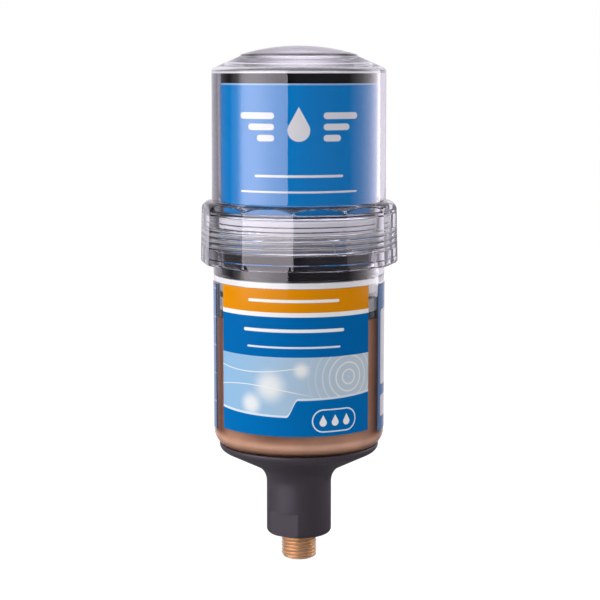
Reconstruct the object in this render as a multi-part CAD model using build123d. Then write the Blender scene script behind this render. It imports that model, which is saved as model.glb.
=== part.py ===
from build123d import *
import os
from math import acos, atan2, cos, degrees, pi, radians, sin, sqrt, tan

os.makedirs("parts", exist_ok=True)

# Battery-driven single-point grease lubricator of the 125 ml class, in millimetres.
# +Z is up. The origin is on the axis, at the shoulder of the outlet thread: the thread points down from it
# and everything else stands above it. The front of the labels faces -Y.
# A geared motor turns a nut, the nut feeds a threaded spindle down, and the spindle pushes the piston that
# presses the grease out of the clear canister. A clear cover screws over the drive unit.

# ---- Driving dimensions: outlet and support flange
OUTLET_THREAD_R = 6.58  # major radius of the R 1/4 thread
OUTLET_THREAD_LENGTH = 9.7
OUTLET_BORE_R = 3.2
NIPPLE_SET_IN = 12.0  # how far the nipple reaches up into the boss
NIPPLE_CHAMFER = 0.8
NIPPLE_SHANK_R = 6.0  # the plain part inside the boss
BOSS_R = 12.15
BOSS_EDGE_ROUND = 1.5
BOSS_FILLET = 7.4
CONE_ANGLE = 26.7
FLANGE_RIM_R = 29.8
FLANGE_RIM_ROUND = 2.5
FLANGE_SEAT = 34.2  # height of the face that carries the canister
FLANGE_RIM_RISE = 1.0  # the rim stands this far above the seat
FLANGE_RIM_HEIGHT = 2.163  # from the rim's top down to the cone's line
FLANGE_WALL = 2.6
FLANGE_RIM_BAND = 5.2  # left solid under the rim, outside the pockets
FLANGE_BOSS_BAND = 1.0  # how far the pockets reach in over the boss
FLANGE_DISH_GAP = 0.2  # round the canister's rounded corner
FLANGE_RIB_COUNT = 8
FLANGE_RIB_THICKNESS = 2.0
FLAT_FROM_AXIS = 10.5  # half the width across the two spanner flats
FLAT_HEIGHT = 9.4
FLAT_TURN = -32.3  # from the front, about Z

# ---- Driving dimensions: canister, grease and piston
BORE_R = 29.7
CANISTER_WALL = 2.0
CANISTER_FLOOR = 2.5
CANISTER_CORNER = 6.0
CANISTER_INNER_CORNER = 3.5
SPOUT_R = 6.4
SPOUT_LENGTH = 16.0
SEAL_SECTION_R = 1.0
NECK_RISE = 0.4  # the pitch cylinder of the cover's thread stands this far out of the canister wall
NECK_BELOW_RIM = 1.2
GREASE_GAP = 0.1
PISTON_HEIGHT = 12.7
PISTON_GAP = 0.3
PISTON_HEADROOM = 2.5  # from the piston up to the drive unit, in a full canister
PISTON_FLOOR = 3.0
PISTON_WALL = 2.6
PISTON_RING_HEIGHT = 1.8
PISTON_RING_RISE = 7.2  # from the underside of the piston to its upper ring
PISTON_LIP_HEIGHT = 2.2
PISTON_RING_DEPTH = 1.2
PISTON_RIB_COUNT = 8
PISTON_RIB_THICKNESS = 2.0
PISTON_HUB_R = 8.0

# ---- Driving dimensions: feed
SPINDLE_R = 4.0
SPINDLE_FLAT_FROM_AXIS = 3.3
SPINDLE_LEAD = 2.0
FEED_TURNS = 22.0  # turns of the nut from a full canister to an empty one
GREASE_LEFT = 3.1  # stays under the piston when the canister is empty
SPINDLE_SPARE = 0.5  # left in the nut when the canister is empty
PLATE_R = 20.0
PLATE_THICKNESS = 3.0
PLATE_BELOW_DRIVE = 1.0
PLATE_HUB_R = 7.0
PLATE_HUB_HEIGHT = 0.6

# ---- Driving dimensions: drive unit
DRIVE_CLEARANCE = 1.0  # between the drive unit and the canister bore
DRIVE_DEPTH = 22.0  # how far the drive unit reaches down into the canister
HOUSING_WALL = 1.7
HOUSING_STEP = 0.4  # the housing is this much thicker above the tray
LIP_THICKNESS = 1.0
LIP_BEARING = 0.75  # how far the lip reaches over the canister's rim
BASE_THICKNESS = 2.0
BASE_SPIGOT_WALL = 0.7
BASE_SPIGOT_HEIGHT = 1.5
FIT_GAP = 0.1
GUIDE_BOSS_R = 6.3
GUIDE_BOSS_HEIGHT = 2.0
TRAY_THICKNESS = 1.5
CUP_WALL = 1.0
CUP_HEIGHT = 14.0
CUP_GAP = 0.15
LID_THICKNESS = 2.0
LID_SPIGOT_HEIGHT = 3.4
LID_SPIGOT_WALL = 1.2
LID_EDGE_ROUND = 0.6
SCREW_RING_R = 22.0
SCREW_ANGLES = (5, 95, 275)
SCREW_R = 1.25
SCREW_LENGTH = 8.0
SCREW_HEAD_R = 2.3
SCREW_HEAD_HEIGHT = 1.3
SCREW_SLOT = 0.6
SCREW_POST_R = 2.8

# ---- Driving dimensions: gear train, from the motor down to the nut
MODULE = 0.5
PINION_TEETH = 10
WHEEL_TEETH = 36
NUT_TEETH = 48
ADDENDUM = 0.8  # in modules
DEDENDUM = 1.15  # in modules
PRESSURE_ANGLE = 20.0
BACKLASH = 0.08
FACE_WIDTH = 2.6
LAYER_GAP = 0.4
PIN_R = 1.0
RUNNING_GAP = 0.05
GEAR_HUB_R = 1.65
PIN_SET_IN = 1.0
NUT_JOURNAL_R = 6.2
NUT_JOURNAL_HEIGHT = 3.4
WASHER_R = 9.0
WASHER_THICKNESS = 0.5
TOOTH_CLEARANCE = 0.2  # between the first wheel's teeth and the base's spigot
MOTOR_ANGLE = 135.0

# ---- Driving dimensions: motor, cells and electronics
CELL_R = 7.25
CELL_LENGTH = 49.3
CELL_NUB_R = 2.75
CELL_NUB_HEIGHT = 1.2
CELL_COUNT = 3
CELL_CLEARANCE = 0.75  # between a cell, or the motor, and the housing
CONTACT_THICKNESS = 0.4
CONTACT_R = 4.5
SPRING_HEIGHT = 1.8
SPRING_R = 4.0
SPRING_WIRE_R = 0.3
MOTOR_R = 7.75
MOTOR_LENGTH = 20.0
MOTOR_SHAFT_R = 1.0
MOTOR_SHAFT_SET_IN = 3.0
LEAD_R = 0.6
LEAD_SPACING = 5.0
BOARD_GAP = 0.3
BOARD_THICKNESS = 1.6
CHIP_LENGTH = 9.0
CHIP_WIDTH = 7.0
CHIP_HEIGHT = 1.4
CHIP_X = -3.0
CHIP_Y = 17.0
LED_R = 1.5
LED_HEIGHT = 2.4
LED_SPACING = 4.2
WINDOW_X = -11.0
WINDOW_LENGTH = 13.4
WINDOW_WIDTH = 5.0
WINDOW_THICKNESS = 1.0
WINDOW_LEDGE = 0.8

# ---- Driving dimensions: setting dials on the drive unit's lid
DIAL_X = 7.1
DIAL_Y = 8.5
DIAL_R = 3.2
DIAL_GAP = 0.1
DIAL_RISE = 0.9
DIAL_FLANGE_R = 4.2
DIAL_FLANGE_HEIGHT = 0.7
DIAL_SHAFT_R = 1.5
DIAL_SHAFT_LENGTH = 1.6
DIAL_SLOT_WIDTH = 0.9
DIAL_SLOT_DEPTH = 0.8
SWITCH_SIDE = 8.0
SWITCH_HEIGHT = 2.2

# ---- Driving dimensions: labels
LABEL_THICKNESS = 0.15
ADHESIVE = 0.02
DRIVE_LABEL_BELOW_TOP = 3.8
DRIVE_LABEL_ABOVE_LIP = 0.1
FRONT_LABEL_START_ANGLE = -59.6  # angles from the front, about Z
FRONT_LABEL_END_ANGLE = 52.0
FRONT_LABEL_ABOVE_SEAT = 9.3
FRONT_LABEL_HEIGHT = 53.0
BACK_LABEL_START_ANGLE = 65.3
BACK_LABEL_END_ANGLE = 287.2
BACK_LABEL_ABOVE_SEAT = 7.3
BACK_LABEL_HEIGHT = 54.0

# ---- Driving dimensions: protective cover and its seal
COVER_CLEARANCE = 1.05  # between the cover and the drive unit's label, at the bottom
COVER_WALL = 2.2
COVER_DRAFT = 0.2  # the wall draws in by this much toward its top
COVER_HEADROOM = 1.4  # from the top of the drive unit to the shoulder's corner
COVER_SHOULDER_ROUND = 1.3
COVER_LEDGE_R = 21.6
COVER_CONE_RISE = 4.5
COVER_STEP = 0.7
COVER_DOME_INSET = 0.5
COVER_DOME_RISE = 3.1
COLLAR_SIDES = 12
COLLAR_TURN = -2.9
COLLAR_WALL = 2.4  # least, between the thread and a flat, at the top
COLLAR_DRAFT = 0.55
COLLAR_HEIGHT = 22.7
COLLAR_BELOW_RIM = 18.2
COLLAR_SHOULDER_ROUND = 3.5
COLLAR_CHAMFER = 0.5
THREAD_GAP = 0.3
COVER_LEAD = 2.13
COVER_TURNS = 6.0  # turns of engaged thread
SEAL_WIRE_R = 0.5
SEAL_GAP = 0.1

# ---- Heights worked out from the stack
PISTON_TRAVEL = SPINDLE_LEAD * FEED_TURNS
GREASE_BOTTOM = FLANGE_SEAT + CANISTER_FLOOR + GREASE_GAP
GREASE_TOP = GREASE_BOTTOM + PISTON_TRAVEL + GREASE_LEFT
PISTON_BOTTOM = GREASE_TOP + GREASE_GAP
PISTON_TOP = PISTON_BOTTOM + PISTON_HEIGHT
DRIVE_BOTTOM = PISTON_TOP + PISTON_HEADROOM
CANISTER_RIM = DRIVE_BOTTOM + DRIVE_DEPTH
PLATE_TOP = DRIVE_BOTTOM - PLATE_BELOW_DRIVE
PLATE_BOTTOM = PLATE_TOP - PLATE_THICKNESS
BASE_TOP = DRIVE_BOTTOM + BASE_THICKNESS
LOW_LAYER = BASE_TOP + LAYER_GAP
MIDDLE_LAYER = LOW_LAYER + FACE_WIDTH + LAYER_GAP
HIGH_LAYER = MIDDLE_LAYER + FACE_WIDTH + LAYER_GAP
TRAY_BOTTOM = HIGH_LAYER + FACE_WIDTH + WASHER_THICKNESS
TRAY_TOP = TRAY_BOTTOM + TRAY_THICKNESS
NUT_TOP = TRAY_BOTTOM + NUT_JOURNAL_HEIGHT
SPRING_BOTTOM = TRAY_TOP + CONTACT_THICKNESS
CELL_BOTTOM = SPRING_BOTTOM + SPRING_HEIGHT
CELL_TOP = CELL_BOTTOM + CELL_LENGTH + CELL_NUB_HEIGHT
BOARD_BOTTOM = CELL_TOP + CONTACT_THICKNESS
BOARD_TOP = BOARD_BOTTOM + BOARD_THICKNESS
LID_BOTTOM = BOARD_TOP + LID_SPIGOT_HEIGHT
DRIVE_TOP = LID_BOTTOM + LID_THICKNESS
MOTOR_TOP = TRAY_TOP + MOTOR_LENGTH
SPINDLE_TOP = NUT_TOP + PISTON_TRAVEL + SPINDLE_SPARE
LIP_TOP = CANISTER_RIM + LIP_THICKNESS
COLLAR_BOTTOM = CANISTER_RIM - COLLAR_BELOW_RIM
COLLAR_TOP = COLLAR_BOTTOM + COLLAR_HEIGHT
NECK_TOP = CANISTER_RIM - NECK_BELOW_RIM
NECK_BOTTOM = NECK_TOP - COVER_LEAD * COVER_TURNS
SEAL_SEAT = max(LIP_THICKNESS, 2 * SEAL_WIRE_R + SEAL_GAP) + CANISTER_RIM + SEAL_GAP

# ---- Radii worked out from the canister bore
CANISTER_R = BORE_R + CANISTER_WALL
NECK_R = CANISTER_R + NECK_RISE
HOUSING_R = BORE_R - DRIVE_CLEARANCE
HOUSING_INNER_R = HOUSING_R - HOUSING_WALL
HOUSING_UPPER_INNER_R = HOUSING_INNER_R - HOUSING_STEP
CELL_RING_R = HOUSING_UPPER_INNER_R - CELL_CLEARANCE - CELL_R
MOTOR_RING_R = HOUSING_UPPER_INNER_R - CELL_CLEARANCE - MOTOR_R
COVER_INNER_R = HOUSING_R + LABEL_THICKNESS + COVER_CLEARANCE
COLLAR_BORE_R = NECK_R + THREAD_GAP
COLLAR_FLAT_R = COLLAR_BORE_R + COLLAR_WALL
LIP_R = BORE_R + LIP_BEARING

# ---- Gear positions
WHEEL_R = MODULE * WHEEL_TEETH / 2
PINION_R = MODULE * PINION_TEETH / 2
NUT_GEAR_R = MODULE * NUT_TEETH / 2
MESH_DISTANCE = WHEEL_R + PINION_R
BASE_SPIGOT_INNER_R = HOUSING_INNER_R - FIT_GAP - BASE_SPIGOT_WALL
FIRST_WHEEL_RING_R = BASE_SPIGOT_INNER_R - TOOTH_CLEARANCE - WHEEL_R - ADDENDUM * MODULE
SECOND_WHEEL_RING_R = NUT_GEAR_R + PINION_R

STAND = (Align.CENTER, Align.CENTER, Align.MIN)
SLIVER = 0.01  # how far a cutting tool runs past a face


def polar(radius, angle):
    """The plan position at a radius and an angle in degrees."""
    return radius * cos(radians(angle)), radius * sin(radians(angle))


def angle_opposite(near_a, near_b, far):
    """The angle, in degrees, between two sides of a triangle, opposite its third side."""
    return degrees(acos((near_a**2 + near_b**2 - far**2) / (2 * near_a * near_b)))


FIRST_WHEEL_ANGLE = MOTOR_ANGLE + angle_opposite(MOTOR_RING_R, FIRST_WHEEL_RING_R, MESH_DISTANCE)
SECOND_WHEEL_ANGLE = FIRST_WHEEL_ANGLE + angle_opposite(
    FIRST_WHEEL_RING_R, SECOND_WHEEL_RING_R, MESH_DISTANCE
)
MOTOR_PLACE = polar(MOTOR_RING_R, MOTOR_ANGLE)
FIRST_WHEEL_PLACE = polar(FIRST_WHEEL_RING_R, FIRST_WHEEL_ANGLE)
SECOND_WHEEL_PLACE = polar(SECOND_WHEEL_RING_R, SECOND_WHEEL_ANGLE)
NUT_PLACE = (0.0, 0.0)


def heading(start, end):
    """The direction from one plan position to another, in degrees."""
    return degrees(atan2(end[1] - start[1], end[0] - start[0]))


def post(radius, bottom, top, place=(0, 0)):
    """An upright round bar."""
    return Pos(place[0], place[1], bottom) * Cylinder(radius, top - bottom, align=STAND)


def tube(outer_r, inner_r, bottom, top, place=(0, 0)):
    """An upright round tube with flat ends."""
    hole = post(inner_r, bottom - SLIVER, top + SLIVER, place)
    return post(outer_r, bottom, top, place) - hole


def slab(length, width, bottom, top, place=(0, 0)):
    """An upright rectangular block."""
    return Pos(place[0], place[1], bottom) * Box(length, width, top - bottom, align=STAND)


def turned(*corners):
    """A solid turned about Z, from its corners as radius, height and rounding."""
    points = [(radius, 0, height) for radius, height, _ in corners]
    outline = FilletPolyline(*points, radius=[rounding for _, _, rounding in corners], close=True)
    return revolve(make_face(outline), Axis.Z)


def cap(radius, bottom, rise):
    """A shallow dome that stands on a disc."""
    mid_rise = sphere_rise(radius, rise, radius / 2)
    arc = ThreePointArc((0, 0, bottom + rise), (radius / 2, 0, bottom + mid_rise), (radius, 0, bottom))
    floor = Polyline((radius, 0, bottom), (0, 0, bottom), (0, 0, bottom + rise))
    return revolve(make_face(arc + floor), Axis.Z)


def sphere_rise(radius, rise, place):
    """The height, above its edge, of a dome of one radius and rise, at a distance from its middle."""
    sphere_r = (radius**2 + rise**2) / (2 * rise)
    return rise - sphere_r + sqrt(sphere_r**2 - place**2)


def sector(outer_r, inner_r, bottom, top, start, end):
    """A part of a tube, between two angles counted from the front."""
    first, last = start - 90, end - 90
    middle = (first + last) / 2
    outer_arc = ThreePointArc(polar(outer_r, first), polar(outer_r, middle), polar(outer_r, last))
    inner_arc = ThreePointArc(polar(inner_r, last), polar(inner_r, middle), polar(inner_r, first))
    end_side = Line(polar(outer_r, last), polar(inner_r, last))
    start_side = Line(polar(inner_r, first), polar(outer_r, first))
    outline = outer_arc + inner_arc + end_side + start_side
    return Pos(0, 0, bottom) * extrude(make_face(outline), top - bottom)


def involute(radius, base_r):
    """The involute function at a radius, in radians; nothing inside the base circle."""
    if radius <= base_r:
        return 0.0
    angle = acos(base_r / radius)
    return tan(angle) - angle


def gear(teeth, bottom, top, place, tooth_heading):
    """A spur gear with one tooth centred on a heading."""
    pitch_r = MODULE * teeth / 2
    base_r = pitch_r * cos(radians(PRESSURE_ANGLE))
    flank_radii = [pitch_r - DEDENDUM * MODULE, base_r, pitch_r, pitch_r + ADDENDUM * MODULE]
    half_tooth = pi / (2 * teeth) - BACKLASH / (2 * pitch_r) + involute(pitch_r, base_r)
    flank = [(radius, half_tooth - involute(radius, base_r)) for radius in sorted(flank_radii)]
    points = []
    for tooth in range(teeth):
        centre = radians(tooth_heading) + 2 * pi * tooth / teeth
        rising = [(radius, centre - half) for radius, half in flank]
        falling = [(radius, centre + half) for radius, half in reversed(flank)]
        points += [(radius * cos(angle), radius * sin(angle)) for radius, angle in rising + falling]
    return Pos(place[0], place[1], bottom) * extrude(make_face(Polyline(*points, close=True)), top - bottom)


def gap_heading(teeth, toward):
    """The heading of a tooth of a gear that has a gap toward its mate."""
    return toward + 180 / teeth


def double_d(radius, flat, bottom, top):
    """A round bar with two flats, which face +X and -X."""
    return post(radius, bottom, top) & slab(2 * flat, 4 * radius, bottom, top)


# ---- Outlet and support flange
def outlet_nipple():
    """The brass nipple: the outlet thread, and the plain shank that sits in the boss."""
    lead_in = OUTLET_THREAD_R - NIPPLE_CHAMFER
    return turned(
        (OUTLET_BORE_R, -OUTLET_THREAD_LENGTH, 0),
        (lead_in, -OUTLET_THREAD_LENGTH, 0),
        (OUTLET_THREAD_R, -OUTLET_THREAD_LENGTH + NIPPLE_CHAMFER, 0),
        (OUTLET_THREAD_R, 0, 0),
        (NIPPLE_SHANK_R, 0, 0),
        (NIPPLE_SHANK_R, NIPPLE_SET_IN, 0),
        (OUTLET_BORE_R, NIPPLE_SET_IN, 0),
    )


def cone_height(radius):
    """The height of the flange's cone at a radius."""
    rim_bottom = FLANGE_SEAT + FLANGE_RIM_RISE - FLANGE_RIM_HEIGHT
    return rim_bottom - (FLANGE_RIM_R - radius) * tan(radians(CONE_ANGLE))


def flange_dish():
    """The hollow that the canister's rounded bottom corner sits in."""
    corner_r = CANISTER_CORNER + FLANGE_DISH_GAP
    centre_r = CANISTER_R - CANISTER_CORNER
    seat_r = centre_r + sqrt(corner_r**2 - CANISTER_CORNER**2)
    rim_rise = CANISTER_CORNER - FLANGE_RIM_RISE
    rim_r = centre_r + sqrt(corner_r**2 - rim_rise**2)
    top = FLANGE_SEAT + FLANGE_RIM_RISE
    return turned(
        (0, FLANGE_SEAT, 0),
        (seat_r, FLANGE_SEAT, 0),
        (rim_r, top, 0),
        (rim_r, top + 1, 0),
        (0, top + 1, 0),
    )


def flange_recesses():
    """The pockets between the ribs, under the seat."""
    inner_r = BOSS_R - FLANGE_BOSS_BAND
    cone_wall = FLANGE_WALL / cos(radians(CONE_ANGLE))
    outer_r = FLANGE_RIM_R - FLANGE_RIM_BAND
    pocket = turned(
        (inner_r, FLANGE_SEAT + SLIVER, 0),
        (inner_r, cone_height(inner_r) + cone_wall, 0),
        (outer_r, cone_height(outer_r) + cone_wall, 0),
        (outer_r, FLANGE_SEAT + SLIVER, 0),
    )
    for rib in range(FLANGE_RIB_COUNT):
        wall = slab(FLANGE_RIM_R, FLANGE_RIB_THICKNESS, 0, FLANGE_SEAT + 1, (FLANGE_RIM_R / 2, 0))
        pocket -= Rot(0, 0, 360 * rib / FLANGE_RIB_COUNT) * wall
    return pocket


def support_flange():
    """The black carrier between the canister and the outlet, with two spanner flats on its boss."""
    body = turned(
        (0, 0, 0),
        (BOSS_R, 0, BOSS_EDGE_ROUND),
        (BOSS_R, cone_height(BOSS_R), BOSS_FILLET),
        (FLANGE_RIM_R, cone_height(FLANGE_RIM_R), FLANGE_RIM_ROUND),
        (FLANGE_RIM_R, FLANGE_SEAT + FLANGE_RIM_RISE, 0),
        (0, FLANGE_SEAT + FLANGE_RIM_RISE, 0),
    )
    body -= flange_dish() + flange_recesses()
    body -= post(OUTLET_BORE_R, -SLIVER, FLANGE_SEAT + SLIVER)
    body -= post(NIPPLE_SHANK_R, -SLIVER, NIPPLE_SET_IN)
    body -= post(SPOUT_R, FLANGE_SEAT - SPOUT_LENGTH, FLANGE_SEAT + SLIVER)
    body -= outlet_seal_groove()
    cutter = slab(2 * BOSS_R, 4 * BOSS_R, -1, FLAT_HEIGHT, (FLAT_FROM_AXIS + BOSS_R, 0))
    for side in (0, 180):
        body -= Rot(0, 0, FLAT_TURN - 90 + side) * cutter
    return body


def outlet_seal_groove():
    """The groove round the spout, in the flange's seat."""
    depth = 2 * SEAL_SECTION_R
    return tube(SPOUT_R + depth, SPOUT_R - SLIVER, FLANGE_SEAT - depth, FLANGE_SEAT + SLIVER)


def outlet_seal():
    """The O-ring between the canister's spout and the flange."""
    return Pos(0, 0, FLANGE_SEAT - SEAL_SECTION_R) * Torus(SPOUT_R + SEAL_SECTION_R, SEAL_SECTION_R)


# ---- Canister, grease and piston
def canister():
    """The clear canister with its neck and its outlet spout."""
    floor = FLANGE_SEAT + CANISTER_FLOOR
    shell = turned(
        (0, FLANGE_SEAT, 0),
        (CANISTER_R, FLANGE_SEAT, CANISTER_CORNER),
        (CANISTER_R, NECK_BOTTOM, 0),
        (NECK_R, NECK_BOTTOM + NECK_RISE, 0),
        (NECK_R, NECK_TOP - NECK_RISE, 0),
        (CANISTER_R, NECK_TOP, 0),
        (CANISTER_R, CANISTER_RIM, 0),
        (BORE_R, CANISTER_RIM, 0),
        (BORE_R, floor, CANISTER_INNER_CORNER),
        (0, floor, 0),
    )
    spout = post(SPOUT_R, FLANGE_SEAT - SPOUT_LENGTH, FLANGE_SEAT + SLIVER)
    bore = post(OUTLET_BORE_R, FLANGE_SEAT - SPOUT_LENGTH - SLIVER, floor + SLIVER)
    return shell + spout - bore


def grease():
    """The charge of grease, which fills the canister from its floor to the piston."""
    radius = BORE_R - GREASE_GAP
    return turned(
        (0, GREASE_BOTTOM, 0),
        (radius, GREASE_BOTTOM, CANISTER_INNER_CORNER),
        (radius, GREASE_TOP, 0),
        (0, GREASE_TOP, 0),
    )


def piston():
    """The pale piston: a cup with ribs that carry the spindle's plate, and a groove for each ring."""
    radius = BORE_R - PISTON_GAP
    inner_r = radius - PISTON_RING_DEPTH - PISTON_WALL
    floor = PISTON_BOTTOM + PISTON_FLOOR
    cup = post(radius, PISTON_BOTTOM, PISTON_TOP) - post(inner_r, floor, PISTON_TOP + SLIVER)
    cup -= ring_groove(PISTON_BOTTOM - SLIVER, PISTON_LIP_HEIGHT + SLIVER)
    cup -= ring_groove(PISTON_BOTTOM + PISTON_RING_RISE, PISTON_RING_HEIGHT)
    cup += post(PISTON_HUB_R, floor, PLATE_BOTTOM)
    for rib in range(PISTON_RIB_COUNT):
        wall = slab(inner_r, PISTON_RIB_THICKNESS, floor, PLATE_BOTTOM, (inner_r / 2, 0))
        cup += Rot(0, 0, 360 * rib / PISTON_RIB_COUNT) * wall
    return cup


def ring_groove(bottom, height):
    """The ring-shaped cut that a piston ring sits in."""
    radius = BORE_R - PISTON_GAP
    return tube(radius + 1, radius - PISTON_RING_DEPTH, bottom, bottom + height)


def piston_ring(bottom, height):
    """A black ring that wipes the canister bore."""
    return tube(BORE_R - RUNNING_GAP, BORE_R - PISTON_GAP - PISTON_RING_DEPTH, bottom, bottom + height)


# ---- Feed
def spindle():
    """The feed spindle, whose two flats keep it from turning."""
    return double_d(SPINDLE_R, SPINDLE_FLAT_FROM_AXIS, PLATE_TOP, SPINDLE_TOP)


def spindle_plate():
    """The plate at the spindle's foot, which spreads its push over the piston."""
    hub_top = PLATE_TOP + PLATE_HUB_HEIGHT
    plate = post(PLATE_R, PLATE_BOTTOM, PLATE_TOP) + post(PLATE_HUB_R, PLATE_TOP, hub_top)
    return plate - double_d(SPINDLE_R, SPINDLE_FLAT_FROM_AXIS, PLATE_TOP, hub_top + SLIVER)


def spindle_gear():
    """The nut: a gear with a journal above it, which turns in the tray and feeds the spindle."""
    teeth = gear(NUT_TEETH, HIGH_LAYER, HIGH_LAYER + FACE_WIDTH, NUT_PLACE,
                 gap_heading(NUT_TEETH, heading(NUT_PLACE, SECOND_WHEEL_PLACE)))
    journal = post(NUT_JOURNAL_R, HIGH_LAYER + FACE_WIDTH, NUT_TOP)
    return teeth + journal - post(SPINDLE_R + RUNNING_GAP, HIGH_LAYER - SLIVER, NUT_TOP + SLIVER)


def thrust_washer():
    """The washer that takes the spindle's push between the nut and the tray."""
    bottom = TRAY_BOTTOM - WASHER_THICKNESS + RUNNING_GAP
    return tube(WASHER_R, NUT_JOURNAL_R + RUNNING_GAP, bottom, TRAY_BOTTOM)


# ---- Gear train
def compound_gear(place, wheel_bottom, wheel_heading, pinion_heading, hub_bottom, hub_top):
    """A wheel with a pinion above it, on a hub that turns on its pin."""
    wheel_top = wheel_bottom + FACE_WIDTH
    pinion_top = wheel_top + LAYER_GAP + FACE_WIDTH
    wheel = gear(WHEEL_TEETH, wheel_bottom, wheel_top, place, wheel_heading)
    pinion = gear(PINION_TEETH, wheel_top, pinion_top, place, pinion_heading)
    hub = post(GEAR_HUB_R, hub_bottom, hub_top, place)
    return wheel + pinion + hub - post(PIN_R + RUNNING_GAP, hub_bottom - SLIVER, hub_top + SLIVER, place)


def gear_a():
    """The first compound gear, driven by the motor's pinion."""
    return compound_gear(
        FIRST_WHEEL_PLACE,
        LOW_LAYER,
        gap_heading(WHEEL_TEETH, heading(FIRST_WHEEL_PLACE, MOTOR_PLACE)),
        heading(FIRST_WHEEL_PLACE, SECOND_WHEEL_PLACE),
        BASE_TOP + LAYER_GAP / 2,
        TRAY_BOTTOM - LAYER_GAP / 2,
    )


def gear_b():
    """The second compound gear, whose pinion drives the nut."""
    return compound_gear(
        SECOND_WHEEL_PLACE,
        MIDDLE_LAYER,
        gap_heading(WHEEL_TEETH, heading(SECOND_WHEEL_PLACE, FIRST_WHEEL_PLACE)),
        heading(SECOND_WHEEL_PLACE, NUT_PLACE),
        BASE_TOP + LAYER_GAP / 2,
        TRAY_BOTTOM - LAYER_GAP / 2,
    )


def motor_pinion():
    """The motor's shaft with its pinion."""
    toward = heading(MOTOR_PLACE, FIRST_WHEEL_PLACE)
    teeth = gear(PINION_TEETH, LOW_LAYER, LOW_LAYER + FACE_WIDTH, MOTOR_PLACE, toward)
    return teeth + post(MOTOR_SHAFT_R, LOW_LAYER, TRAY_TOP + MOTOR_SHAFT_SET_IN - RUNNING_GAP, MOTOR_PLACE)


def gear_pins():
    """The two fixed pins that the compound gears turn on."""
    bottom, top = BASE_TOP - PIN_SET_IN, TRAY_BOTTOM + PIN_SET_IN
    return [post(PIN_R, bottom, top, place) for place in (FIRST_WHEEL_PLACE, SECOND_WHEEL_PLACE)]


# ---- Drive unit
def screw_places():
    """The plan positions of the screws that hold the base to the tray."""
    return [polar(SCREW_RING_R, angle) for angle in SCREW_ANGLES]


def cell_places():
    """The plan positions of the cells: the quarters that the motor leaves free."""
    step = 360 / (CELL_COUNT + 1)
    return [polar(CELL_RING_R, MOTOR_ANGLE + step * (cell + 1)) for cell in range(CELL_COUNT)]


def dial_places():
    """The plan positions of the interval dial and of the volume dial."""
    return [(DIAL_X, -DIAL_Y), (DIAL_X, DIAL_Y)]


def drive_housing():
    """The round black casing of the drive unit, with the lip that rests on the canister's rim."""
    lip = tube(LIP_R, HOUSING_R - SLIVER, CANISTER_RIM, LIP_TOP)
    shell = tube(HOUSING_R, HOUSING_INNER_R, BASE_TOP, LID_BOTTOM)
    step = tube(HOUSING_INNER_R + SLIVER, HOUSING_UPPER_INNER_R, TRAY_TOP, LID_BOTTOM)
    return shell + lip + step


def drive_base():
    """The floor of the drive unit, with the guide that the spindle's flats run in."""
    base = post(HOUSING_R, DRIVE_BOTTOM, BASE_TOP)
    base += post(GUIDE_BOSS_R, BASE_TOP, BASE_TOP + GUIDE_BOSS_HEIGHT)
    base += tube(HOUSING_INNER_R - FIT_GAP, BASE_SPIGOT_INNER_R, BASE_TOP, BASE_TOP + BASE_SPIGOT_HEIGHT)
    guide_r, guide_flat = SPINDLE_R + RUNNING_GAP, SPINDLE_FLAT_FROM_AXIS + RUNNING_GAP
    base -= double_d(guide_r, guide_flat, DRIVE_BOTTOM - SLIVER, BASE_TOP + GUIDE_BOSS_HEIGHT + SLIVER)
    for place in (FIRST_WHEEL_PLACE, SECOND_WHEEL_PLACE):
        base -= post(PIN_R, BASE_TOP - PIN_SET_IN, BASE_TOP + SLIVER, place)
    for place in screw_places():
        base -= screw_blank(place)
    return base


def screw_blank(place):
    """A countersunk screw without its slot, seen as the space that it takes."""
    flare = Cone(SCREW_HEAD_R, SCREW_R, SCREW_HEAD_HEIGHT, align=STAND)
    return Pos(place[0], place[1], DRIVE_BOTTOM) * flare + post(
        SCREW_R, DRIVE_BOTTOM + SCREW_HEAD_HEIGHT, DRIVE_BOTTOM + SCREW_LENGTH, place
    )


def housing_screws():
    """The slotted screws that hold the base to the tray's posts."""
    slot_depth = SCREW_HEAD_HEIGHT / 2
    slot_length = 4 * SCREW_HEAD_R
    screws = []
    for place in screw_places():
        slot = slab(slot_length, SCREW_SLOT, DRIVE_BOTTOM - SLIVER, DRIVE_BOTTOM + slot_depth, place)
        screws.append(screw_blank(place) - slot)
    return screws


def battery_tray():
    """The deck above the gears: cups for the cells and the motor, and posts for the screws."""
    deck_r = HOUSING_INNER_R - FIT_GAP
    cup_reach = HOUSING_UPPER_INNER_R - FIT_GAP
    tray = post(deck_r, TRAY_BOTTOM, TRAY_TOP)
    cups = [(place, CELL_R) for place in cell_places()] + [(MOTOR_PLACE, MOTOR_R)]
    for place, radius in cups:
        cup = tube(radius + CUP_GAP + CUP_WALL, radius + CUP_GAP, TRAY_TOP, TRAY_TOP + CUP_HEIGHT, place)
        tray += cup & post(cup_reach, TRAY_TOP, TRAY_TOP + CUP_HEIGHT)
    for place in screw_places():
        tray += post(SCREW_POST_R, BASE_TOP, TRAY_BOTTOM, place)
    tray -= post(NUT_JOURNAL_R + RUNNING_GAP, TRAY_BOTTOM - SLIVER, TRAY_TOP + SLIVER)
    tray -= post(MOTOR_SHAFT_R + RUNNING_GAP, TRAY_BOTTOM - SLIVER, TRAY_TOP + SLIVER, MOTOR_PLACE)
    for place in (FIRST_WHEEL_PLACE, SECOND_WHEEL_PLACE):
        tray -= post(PIN_R, TRAY_BOTTOM - SLIVER, TRAY_BOTTOM + PIN_SET_IN, place)
    for place in screw_places():
        tray -= screw_blank(place)
    return tray


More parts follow.
